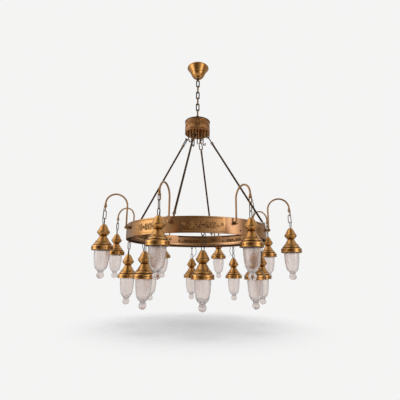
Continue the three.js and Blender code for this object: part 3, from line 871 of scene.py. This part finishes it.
for name, first, last in (("upper", rod_top - 1.5, rod_top + 11), ("lower", rod_end - 11, rod_end + 1.5)):
    ferrule = turn(f"{name}_ferrule", run((4.4, -first), (6, -first - 2), (6.5, -(first + last) / 2),
                                          (6, -last + 2), (4.4, -last)), 20, True)
    stay_parts.append(paint_wear_and_light(ferrule, grime_and_shade=0.35, polish_and_highlight=0.3))
stay = smooth(join(stay_parts, "stay_model"), 50)
print("stay:", round(stay_length, 1), "mm from hook to hook,", steps, "steps")

stay_link = placed(oval_link("stay_link_model", 55.4, 25.4, 3.2), (0, 0, -26.7), (0, 0, pi / 2))
paint_wear_and_light(stay_link, grime_and_shade=lambda p: 0.75 - 0.6 * (abs(p.z + 26.7) > 17),
     polish_and_highlight=lambda p: 0.8 * (abs(p.z + 26.7) > 17))
stay_pieces = []
for i, degrees in enumerate(STAY_ANGLES):
    for model, label, node in ((stay, "twisted_stay", "stay"), (stay_link, "oval_stay_link", "stay_link")):
        piece = placed(copied(model, f"{label}_{i + 1}"), STAY_FROM, (0, -stay_tilt, 0))
        placed(piece, turned=(0, 0, spoke(degrees)))
        stay_pieces.append((piece, dark_wire_brass, "dark_brass", f"{node}_{i + 1}"))
drop(stay, stay_link)
for piece, finish, slot, *nodes in (
        *stay_pieces, (drum, embossed_brass, "copper_brass", "drum_shell"),
        (lid, dark_wire_brass, "dark_brass"), (hem, embossed_brass, "copper_brass"),
        # The lining and the spider plate get the lighter inside brass, painted light in the drum's shade.
        (lining, inside_brass_painted_light, "copper_brass"), (spider_plate, inside_brass_painted_light, "dark_brass"),
        (spider, dark_wire_brass, "dark_brass", "hook_spider"), (shanks, embossed_brass, "dark_brass")):
    dress(piece, finish, "frame", slot, *nodes)

# %% [markdown]
# ## Ring
# The ring is a rolled band with a gutter for the wires inside its lower edge. Its section
# is turned in fine steps. Eight panels between the goosenecks carry the engraving, with
# plain, rubbed metal between them.

# %% Band and gutter
section = [
    (399.2, -1151), (399.6, -1150.4), (399.6, -1071.6), (399.2, -1071), (397.9, -1071), (397.5, -1071.6),
    (397.5, -1137.5), (372.4, -1137.5), (372.2, -1121.8), (371.6, -1121), (370.6, -1121.2),
    (369.6, -1123.6), (368.9, -1127.6), (368.7, -1131.6), (368.9, -1135.2), (369.7, -1138.6),
    (371, -1140), (397.5, -1140), (397.5, -1150.4), (397.9, -1151), (399.2, -1151)]
fine = []
for (r0, z0), (r1, z1) in zip(section, section[1:]):
    cuts = max(1, round(hypot(r1 - r0, z1 - z0) / 9))
    fine += [(r0 + (r1 - r0) * i / cuts, z0 + (z1 - z0) * i / cuts) for i in range(cuts)]
ring_band = turn("ring_band", [*fine, section[-1]], 360)
edit(ring_band)
bpy.ops.mesh.remove_doubles(threshold=0.02 * mm)
smooth(face_out(ring_band))


def from_arm(p):
    """Degrees to the nearest gooseneck."""
    return abs((np.degrees(np.arctan2(p.x, -p.y)) + 18 + 22.5) % 45 - 22.5)


# Inside the gutter and under its floor the band gets painted shade, with a dark stripe all round at the
# floor's height; the inner face of the lip gets a painted highlight.
paint_wear_and_light(ring_band,
     grime_and_shade=lambda p: 0.12 + stripes(p.z, (0.35, -1151, 2.5), (0.25, -1071, 2))
     + 0.6 * (p.r > 370.2) * (p.r < 397) + 0.7 * (p.z < -1139.5) * (p.z > -1141),
     polish_and_highlight=lambda p: (p.r > 399) * stripes(from_arm(p), (0.3, 0, 5)) + (p.r < 370.4) * (p.z > -1139))
report(ring_band)

# %% Engraved panels
PANEL_WIDTH, PANEL_HEIGHT, PANEL_MIDDLE = 208, 74, -1110.6
PANEL_RADIUS, INNER_RADIUS = 400.5, 397.2
BORDER = 101.5
AXIS = -2
scroll = [rosette((0, AXIS), 10, 6)]
for side in (-1, 1):
    t = np.linspace(0, 1, 120)
    scroll.append(row(side * (9 + 46 * t), AXIS + 10 * np.sin(np.pi * (0.4 + 3 * t)), 1.7))
    for x, up in ((16, 1), (29, -1), (42, 1), (54, -1)):
        scroll += [spiral((side * x, AXIS - 7 * up), 9, 90 * up, 1.2, side * up, 1.8),
                   leaf((side * (x - 3), AXIS + 9 * up), 90 * up - 30 * side, 13, 2.6),
                   leaf((side * (x + 3), AXIS + 11 * up), 90 * up + 35 * side, 9, 2.2)]
    circle = np.linspace(0, 2 * np.pi, 30)
    scroll += [level_stroke(side * 58, side * 84, -6, 1.9),
               leaf((side * 64, -6), 90 - side * 40, 9, 2.2), leaf((side * 75, -6), 90 + side * 130, 9, 2.2),
               row(side * 92 + 6 * np.cos(circle), 3 + 6 * np.sin(circle), 1.6), row(side * 92, 3, 2.4)]
scroll.append(row(np.linspace(-94, 94, 33), -31, 1.5))
scroll.append(row(np.linspace(-90, 90, 20), 31.6, 2.5))
panel = worked_sheet("engraved_panel", PANEL_WIDTH, PANEL_HEIGHT, (280, 100), scroll, -0.75,
                     lines=(-BORDER, BORDER))
smooth(rolled(panel, PANEL_WIDTH, PANEL_RADIUS, PANEL_MIDDLE), 60)
inside = copied(panel, "inner_panel_model")
edit(inside)
k = INNER_RADIUS / PANEL_RADIUS
bpy.ops.transform.resize(value=(k, k, 1), center_override=(0, 0, 0))
bpy.ops.mesh.flip_normals()
leave_edit()
choose(inside, lambda co: co.z < -1136.5 * mm)
bpy.ops.mesh.delete(type="VERT")
leave_edit()
# The inner faces of the panels get painted shade, darker on their upper part.
for vertex, layer in zip(inside.data.vertices, inside.data.attributes["grime_and_shade"].data):
    layer.value = min(1, layer.value * 0.7 + 0.38 + 0.5 * (vertex.co.z > -1081 * mm))
panels = [copied(panel, f"engraved_panel_{i + 1}", radians(UNDER_ANGLES[i])) for i in range(COUNT)]
inner_panels = [copied(inside, f"inner_panel_{i + 1}", radians(UNDER_ANGLES[i])) for i in range(COUNT)]
drop(panel, inside)
report(panels[0])

# %% [markdown]
# Four wire hooks are welded inside the band and rise over its edge for the stays, and a
# small staple under the gutter carries each lower lantern. A screw with a slotted head
# closes a spare hole in the band.

# %% Hooks and staples of the ring
ring_hook = wire("ring_hook_model", [(396.2, 0, -1117), (396.2, 0, -1061),
                                     *arc((389.2, -1061), 7, 0, 180, 14), (382.2, 0, -1068)], 2.5)
ring_staple = staple("ring_staple_model", -1138.8, -1162)
ring_wires = [copied(ring_hook, f"ring_hook_{i}", spoke(degrees)) for i, degrees in enumerate(STAY_ANGLES)]
for i, degrees in enumerate(UNDER_ANGLES):
    spot = Matrix.Rotation(spoke(degrees), 3, "Z") @ Vector((UNDER_RADIUS * mm, 0, 0))
    ring_wires.append(copied(ring_staple, f"ring_staple_{i}", radians(degrees), spot))
drop(ring_hook, ring_staple)
ring_wires = smooth(join(ring_wires, "ring_hooks_and_staples"), 50)
paint_wear_and_light(ring_wires, grime_and_shade=0.4, polish_and_highlight=lambda p: 0.7 * (abs(p.z + 1162) < 3) + 0.6 * (p.z > -1062))
report(ring_wires)
band_screw = turn("band_screw", [(0.1, 0), (4, 0), (4, 1), (3.3, 1.8), (0.1, 2.2)], 24, True)
shift(band_screw, (0, 0, -0.7), lambda co: co.z > 1.5 * mm and abs(co.x) < 0.8 * mm)
placed(band_screw, (399.4, 0, 0), (0, pi / 2, 0))
smooth(placed(band_screw, (0, 0, -1131), (0, 0, spoke(32))), 30)
paint_wear_and_light(band_screw, grime_and_shade=0.9)
for piece, finish, slot, *nodes in (
        (ring_band, aged_copper_brass, "copper_brass", "ring"),
        *[(panel, engraved_brass, "copper_brass") for panel in panels],
        *[(panel, aged_copper_brass, "copper_brass") for panel in inner_panels],
        (ring_wires, dark_wire_brass, "dark_brass"), (band_screw, dark_wire_brass, "dark_brass")):
    dress(piece, finish, "frame", slot, *nodes)

# %% [markdown]
# ## Goosenecks
# A stub goes through the band with a nut on each side. It ends in a small boss that holds
# the foot of a bent tube. The tube rises, bends over and ends in a turned collar with a
# staple for the lantern's link. One is made on the spoke along +X, and copied eight times.

# %% Gooseneck
ALONG_X = (0, pi / 2, 0)
FOOT, BEND = 416, 57


def hex_nut(name, near, far, corner):
    """A nut of six flats between two distances from the axis."""
    line = [(5, near), (8.2, near), (9, near + 0.7), (9, far - corner), (8.2, far), (5, far), (5, near)]
    return placed(turn(name, line, 6), turned=ALONG_X)


inner_nut = hex_nut("inner_nut", 390.9, 397.2, 0.8)
outer_nut = hex_nut("outer_nut", 400.3, 406.3, 0.7)
boss = turn("boss", [
    (5, 389.8), (5, 408.5), *run((5.4, 408.5), (6.6, 409.4), (7, 411.5), (6.5, 414)),
    *run((6.8, 419), (7.2, 421), (6.6, 423.8), (4.6, 425.3), (2, 425.9), (0.1, 426))],
    32, True)
placed(boss, turned=ALONG_X)
foot = placed(turn("foot", run((0.1, -8.2), (3.4, -7.8), (5.9, -5.6), (6.7, -1.5), (6.4, 3), (5.4, 6.5),
                               (4.7, 8.4), (4.4, 9)), 28, True), (FOOT, 0, 0))
tube = wire("tube", [(FOOT, 0, 2), *[(FOOT, 0, 2 + 11.3 * i) for i in range(1, 10)],
                     *arc((FOOT + BEND, 115), BEND, 180, 0, 40), (DROP_RADIUS, 0, 108)], 4.5, rounds=6)
end_collar = placed(turn("end_collar", [
    (4.4, 115.2), *run((5.2, 115.4), (5.9, 114.6), (5.9, 112.6), (5.3, 111.4), steps=2),
    *run((5.6, 110.2), (5.9, 107.5), (7, 105.6), (8.3, 104.2), (8.7, 102.2), (8.3, 100.2), (6.9, 98.8)),
    *run((6.2, 98.2), (6, 96.8), (4.9, 96.1), (2.4, 96), (0.1, 96), steps=2)], 32, True),
    (DROP_RADIUS, 0, 0))
arm_staple = placed(staple("arm_staple", 98, 74), (DROP_RADIUS, 0, 0), (0, 0, pi / 2))
paint_wear_and_light(inner_nut, grime_and_shade=0.4, polish_and_highlight=0.3)
paint_wear_and_light(outer_nut, grime_and_shade=0.45, polish_and_highlight=0.3)
paint_wear_and_light(arm_staple, grime_and_shade=0.5, polish_and_highlight=0.3)
paint_wear_and_light(boss, grime_and_shade=lambda p: stripes(p.x, (0.5, FOOT, 2.5)), polish_and_highlight=lambda p: 0.9 * (p.x > FOOT + 6))
paint_wear_and_light(foot, grime_and_shade=lambda p: 0.1 + stripes(p.z, (0.55, 8.6, 1.5)), polish_and_highlight=[(0.4, -2, 4)])
paint_wear_and_light(tube, grime_and_shade=lambda p: 0.12 + stripes(p.z, (0.5, 8, 5)) * (p.x < 430), polish_and_highlight=0.25)
paint_wear_and_light(end_collar, grime_and_shade=[(0.8, 110.8, 0.9), (0.7, 98.4, 0.8)], polish_and_highlight=[(0.8, 102.4, 1.8)])
gooseneck = join([tube, inner_nut, outer_nut, boss, foot, end_collar, arm_staple], "gooseneck_model")
smooth(gooseneck, 35)
for i, degrees in enumerate(ARM_ANGLES):
    piece = copied(gooseneck, f"bent_gooseneck_{i + 1}", spoke(degrees), (0, 0, ARM_HEIGHT * mm))
    dress(piece, gooseneck_brass, "frame", "antique_brass", f"gooseneck_{i + 1}")
report(gooseneck)
drop(gooseneck)

# %% [markdown]
# ## Lanterns
# Sixteen lanterns are alike. The cap is spun in steps: a rounded finial, a sharp bulge, a
# neck, a hollow skirt and a straight rim. Three small screws through the rim hold the bell
# glass by its lip, and one more sits on the skirt. The cap hangs on an eye and an oval
# link. Depths count down from the cap's top, and the whole hangs from its joint's place.

# %% Lantern parts
CAP_TOP = -66.9


def hung(rows):
    return [(radius, CAP_TOP - depth) for radius, depth in rows]


def grooves(p, *rows):
    """Soft stripes, each an amount, a depth under the cap's top and a width."""
    return stripes(CAP_TOP - p.z, *rows)


cap_line = [
    *run((0.1, 0), (5.5, 0.2), (9.6, 1.2), (12.4, 3.4), (15, 7.4), (18.6, 14.4), (22.4, 22.4),
         (26.2, 29.2), (29.6, 35), (31, 37.6), steps=4),
    (31.2, 38.4), (30.4, 39.1), (31, 39.7),
    *run((31.7, 40.1), (32.2, 41.3), (31.8, 43.2), (30.4, 45)),
    *run((28.6, 47.6), (24.2, 53.2), (20.2, 56.8), (18, 58.6), (17.4, 60), (17.8, 61.6)),
    *run((18.8, 63.4), (21, 67.3), (24.2, 72.8), (29, 81.2), (33.2, 87.2), (37.6, 92.2), steps=4),
    (38.2, 92.6), (37.4, 93.3), (38.5, 93.9),
    *run((38.9, 94.2), (40.9, 96.4), (42.3, 98.3), (43, 99.6), steps=2),
    *run((43.9, 100.3), (45, 101.4), (45.2, 103.2), (44.4, 104.4), (43.3, 105)),
    *run((44.4, 105.8), (46.6, 106.6), (50, 108.2), (52.2, 110.2), (53.2, 112.6)),
    (53.3, 114), (53.2, 119), (52.5, 119.5), (53.1, 120.2), (52.8, 126), (53, 128.6), (53.4, 129.6),
    *run((53.3, 130.3), (52.7, 131), (51.9, 131), (51.5, 130.3), steps=2),
    (51.3, 128), (51.3, 114.6), (50.6, 113.9), (44, 114), (38, 107), (28, 94), (18.5, 83), (13.2, 79),
    (0.1, 78)]
cap = smooth(turn("cap_model", hung(cap_line), 72, True), 28)
paint_wear_and_light(cap,
     grime_and_shade=lambda p: grooves(
         p, (0.95, 39.1, 0.9), (0.95, 60, 2.8), (0.95, 93.2, 1.1), (1, 105, 1.3), (0.6, 46.5, 1.8),
         (0.45, 131, 2), (0.6, 119.6, 0.8), (0.3, 0, 2.5)) + 0.6 * (p.r < 51.35) * (CAP_TOP - p.z > 113),
     polish_and_highlight=lambda p: grooves(
         p, (0.8, 41.3, 1.3), (0.8, 102.2, 1.2), (0.6, 112.4, 1.6), (0.6, 129.6, 1), (0.3, 9, 5)))
LINK_MIDDLE = -17.2
hanging_link = placed(oval_link("hanging_link_model", 46.6, 18, 2), (0, 0, LINK_MIDDLE))
paint_wear_and_light(hanging_link, grime_and_shade=0.5, polish_and_highlight=lambda p: 0.15 + 0.6 * (abs(p.z - LINK_MIDDLE) > 17))
cap_eye = placed(staple("cap_eye_model", -68.5, -35.9), turned=(0, 0, pi / 2))
paint_wear_and_light(cap_eye, grime_and_shade=0.5, polish_and_highlight=lambda p: 0.7 * (p.z > -40))
holder = turn("holder_model", hung([
    (0.1, 78), (12.4, 78.2), (13, 79.2), (13, 103.5), (12.2, 104.5), (12.2, 106), (12.9, 107),
    (12.9, 109), (12.2, 110), (12.2, 112), (12.9, 113), (12.9, 115.5), (12.2, 117.4), (11.2, 118),
    (10.2, 117.6), (10, 108), (3, 107.4), (3, 106), (0.1, 105.8)]), 32, True)
paint_wear_and_light(smooth(holder, 35), grime_and_shade=0.65)
cap_screws = []
for i in range(3):
    screw = turn(f"rim_screw_{i}", [(1.3, 52), (1.3, 53.4), (2.2, 53.4), (2.5, 53.9), (2.5, 55.4),
                                    (2, 56), (0.1, 56.2)], 16, True)
    placed(screw, (0, 0, CAP_TOP - 123.5), ALONG_X)
    cap_screws.append(placed(screw, turned=(0, 0, radians(15 + 120 * i))))
skirt_screw = turn("skirt_screw", [(1.4, -1.5), (1.4, 0.1), (2.7, 0.1), (2.7, 0.9), (1.9, 1.7), (0.1, 2)],
                   16, True)
cap_screws.append(placed(skirt_screw, (33.6, 0, CAP_TOP - 87), (0, radians(52), 0)))
cap_screws = paint_wear_and_light(smooth(join(cap_screws, "cap_screws_model"), 35), grime_and_shade=0.8)
glass_line = [
    *run((0.1, 229.4), (6.5, 228.9), (12.5, 227.2), (18, 223), (23.8, 216.2), (28.4, 206.5),
         (31.6, 189), (34.2, 165), (35.4, 145), (35.7, 130), (35.9, 122.6), (38.2, 118.4),
         (42.6, 115.8), (46.6, 114.8), steps=4),
    *run((46.6, 114.8), (48.2, 115.4), (48, 116.8), (44.6, 118.4), (41.2, 121.4), (39.4, 125.4),
         (38.9, 131), (38.4, 145), (37.2, 165), (34.6, 190), (31.5, 208), (27, 220),
         (21.5, 228), (16, 233.5), (13.2, 237.2), (13, 239.2), (14.8, 243), (17.6, 248),
         (18.3, 254), (17, 260), (13.5, 265), (8.6, 268.6), (4.2, 270.2), (0.1, 270.5), steps=4)]
bell = smooth(turn("bell_glass_model", hung(glass_line), 48, True), 60)
paint_wear_and_light(bell, grime_and_shade=lambda p: 0.5 * (CAP_TOP - p.z > 232) + grooves(p, (0.4, 238, 3)))
report(bell)

# %% [markdown]
# The glass is clear but old: the faint grey of lead, a pink cast, fine seeds and soft
# streaks that run down it. Seeds and streaks are bumps in the surface. The colour stays
# pale, so that the white behind shows through each wall. The ball is darker.

# %% Seeded glass
seeded_glass, n, shader = new_material("seeded_glass")
place = n.place()
stretched = n.add("ShaderNodeMapping", {"vector_type": "POINT"}, Vector=place, Scale=(1, 1, 0.16))
streak = n.noise(stretched.outputs[0], 90, 3, 0.6)
seed = n.add("ShaderNodeTexVoronoi", {"feature": "F1"}, Vector=place, Scale=330).outputs["Distance"]
seeds = n.span(seed, 0.10, 0.34, 1, 0)
height = n.math("MULTIPLY_ADD", streak, 0.8, n.times(seeds, 0.22))
tint = n.mix(n.span(streak, 0.35, 0.7), (0.85, 0.785, 0.76, 1), (0.93, 0.885, 0.86, 1))
tint = n.mix(n.attribute("grime_and_shade"), tint, (0.57, 0.46, 0.42, 1))
n.give(shader, Normal=n.relief(height, 0.22, 0.5), Base_Color=tint, Transmission_Weight=1, IOR=1.45,
       Roughness=n.span(seeds, 0, 1, 0.2, 0.34))

# %% Hang the lanterns
angle_of = dict(zip([f"{tier}_{i + 1}" for tier in ("upper", "lower") for i in range(COUNT)],
                    ARM_ANGLES + UNDER_ANGLES))
lantern_parts = (
    (cap, "spun_cap", aged_yellow_brass, "antique_brass", "cap"),
    (hanging_link, "link", dark_wire_brass, "antique_brass"),
    (cap_eye, "eye", dark_wire_brass, "antique_brass"),
    (holder, "holder", dark_wire_brass, "antique_brass"),
    (cap_screws, "set_screws", aged_yellow_brass, "antique_brass"),
    (bell, "bell_glass", seeded_glass, "clear_glass", "glass"))
for lantern, degrees in angle_of.items():
    for model, label, finish, slot, *nodes in lantern_parts:
        piece = copied(model, f"{lantern}_{label}", spoke(degrees), pivot_of(lantern))
        dress(piece, finish, lantern, slot, *[f"{lantern}_{node}" for node in nodes])
drop(*[model for model, *rest in lantern_parts])
print("lanterns:", len(angle_of))

# %% [markdown]
# ## Leads
# A thin grey lead feeds each lantern. It leaves a gooseneck's collar, or the gutter for a
# lower lantern, bows out past the link and goes into the cap's top. It is a limp wire, drawn
# bowed between the fixed end and the swinging one. How far each bows is its own.

# %% Leads
lead_cover, n, shader = new_material("woven_grey_lead")
weave = n.noise(n.place(), 700, 2, 0.6)
n.give(shader, Base_Color=n.mix(weave, (0.03, 0.022, 0.016, 1), (0.10, 0.08, 0.06, 1)),
       Roughness=n.span(weave, 0.2, 0.8, 0.5, 0.7), Normal=n.relief(weave, 0.3, 0.2))

LEAD_RADIUS = 1.6
bows = {"upper": [9, 11, 8, 12, 10, 9, 12, 8], "lower": [15, 20, 24, 30, 31, 27, 22, 18]}
for lantern, degrees in angle_of.items():
    tier, number = lantern.split("_")
    pivot = pivot_of(lantern)
    bow = bows[tier][int(number) - 1]
    if tier == "upper":
        start = ARM_HEIGHT - pivot.z / mm + 96.6
        rows = [(3.6, 2.4, start), (6, 4.6, start - 6), (bow * 0.85, bow * 0.8, -8), (bow, bow * 0.95, -34),
                (bow * 0.8, bow * 0.75, -54), (5.6, 4.2, -63), (5, 3.6, -70.5)]
    else:
        rows = [(3, 11, 22.9), (3.2, bow * 0.72, 12), (3, bow, -14), (4, bow * 0.82, -40),
                (5.2, 6.4, -60), (5, 4.4, -70.5)]
    side = 1 if int(number) <= 4 else -1
    turned_axes = Matrix.Rotation(spoke(degrees), 3, "Z")
    places = [turned_axes @ Vector((x, side * y, z)) * mm + pivot for x, y, z in run(*rows, steps=6)]
    lead = wire(f"{lantern}_lead", [place / mm for place in places], LEAD_RADIUS, rounds=2)
    lead.data.materials.append(lead_cover)
    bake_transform(lead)

# %% [markdown]
# ## Floor, air and lamps
# The chandelier hangs in a white studio. The floor is a grey disc, darker than the air, that
# fades out at its rim: it is a painted shadow under the chandelier, and it keeps the real
# shadow as well. The air shows one pale grey to the camera and through the glass. Metal
# mirrors two bright sides and a darker front, as between two soft boxes. The lamp overhead
# makes the shadow and isn't mirrored.

# %% Floor
FLOOR_HEIGHT = -1.609
bpy.ops.mesh.primitive_circle_add(vertices=128, radius=1, fill_type="NGON", location=(0, 0, FLOOR_HEIGHT))
floor = named("studio_floor")
shadow_floor_finish, n, shader = new_material("floor_painted_shadow")
reach = n.add("ShaderNodeVectorMath", {"operation": "LENGTH"}, Vector=n.place()).outputs["Value"]
under = n.add("ShaderNodeNewGeometry").outputs["Backfacing"]
# The grey disc fades into the lighter air, which paints a soft shadow under the chandelier.
painted_shadow_fade = n.times(n.span(reach, 0, 0.76, 1, 0), n.math("SUBTRACT", 1, under))
n.give(shader, Base_Color=(0.68, 0.68, 0.68, 1), Roughness=1, Specular_IOR_Level=0, Alpha=painted_shadow_fade)
floor.data.materials.append(shadow_floor_finish)

# %% Air
world = bpy.data.worlds.new("studio_air")
bpy.context.scene.world = world
world.use_nodes = True
n = Nodes(world.node_tree)
ray = n.add("ShaderNodeLightPath").outputs
generated = n.add("ShaderNodeTexCoord").outputs["Generated"]
direction = n.add("ShaderNodeSeparateXYZ", Vector=generated).outputs
around = n.math("ARCTAN2", direction["X"], n.times(direction["Y"], -1))
turned = n.math("MULTIPLY_ADD", around, 0.5 / pi, 0.5)


def round_about(levels):
    """A light that changes round the room, warmer where it is darker: (degrees, level) pairs."""
    ramp = n.add("ShaderNodeValToRGB", Fac=turned)
    stops = ramp.color_ramp.elements
    for stop, (degrees, level) in enumerate(levels):
        element = stops.new(degrees / 360 + 0.5) if stop else stops[0]
        element.position = degrees / 360 + 0.5
        warmth = max(0, 1 - level / 0.7)
        element.color = (level, level * (1 - 0.22 * warmth), level * (1 - 0.42 * warmth), 1)
    return ramp.outputs["Color"]


walls = round_about([
    (-180, 0.25), (-150, 0.38), (-122, 0.65), (-100, 1.2), (-84, 1.35), (-66, 1.2), (-52, 0.85), (-40, 0.3),
    (-28, 0.12), (-8, 0.15), (8, 0.4), (22, 0.74), (34, 1.08), (50, 0.9), (64, 0.46), (80, 0.4),
    (100, 0.55), (120, 0.55), (150, 0.35), (179, 0.25)])
sky = round_about([
    (-180, 0.95), (-140, 1), (-115, 1.25), (-90, 2.2), (-62, 1.6), (-40, 0.8), (-20, 0.36), (25, 0.3),
    (48, 0.75), (68, 1.1), (100, 0.75), (130, 0.95), (155, 1.1), (179, 0.95)])
mirrored = n.mix(n.span(direction["Z"], 0.2, 0.5), walls, sky)
mirrored = n.mix(n.span(direction["Z"], 0.88, 1), mirrored, (0.46, 0.46, 0.47, 1))
mirrored = n.mix(n.span(direction["Z"], -0.35, -0.8, 0, 0.8), mirrored, (1, 0.98, 0.95, 1))
seen = n.math("MAXIMUM", ray["Is Camera Ray"], ray["Is Transmission Ray"])
colour = n.mix(ray["Is Glossy Ray"], (0.55, 0.55, 0.56, 1), mirrored)
colour = n.mix(seen, colour, (0.905, 0.903, 0.9, 1))
n.give(world.node_tree.nodes["Background"], Color=colour)

# %% Lamps
AIM = Vector((0, 0, -1.05))
for name, place, size, power in (
        ("left_box", (-3.04, -0.99, -0.75), 1.7, 15), ("right_box", (2.45, -2.06, -0.75), 1.7, 18),
        ("overhead", (0, -0.3, 1.5), 1.8, 40)):
    bpy.ops.object.light_add(type="AREA", location=place)
    lamp = bpy.context.object
    lamp.name = name
    lamp.data.shape = "SQUARE"
    lamp.data.size = size
    lamp.data.energy = power
    lamp.rotation_euler = (AIM - Vector(place)).to_track_quat("-Z", "Y").to_euler()
    lamp.visible_glossy = name != "overhead"
print("lamps:", len(bpy.data.lights), "floor at", FLOOR_HEIGHT)
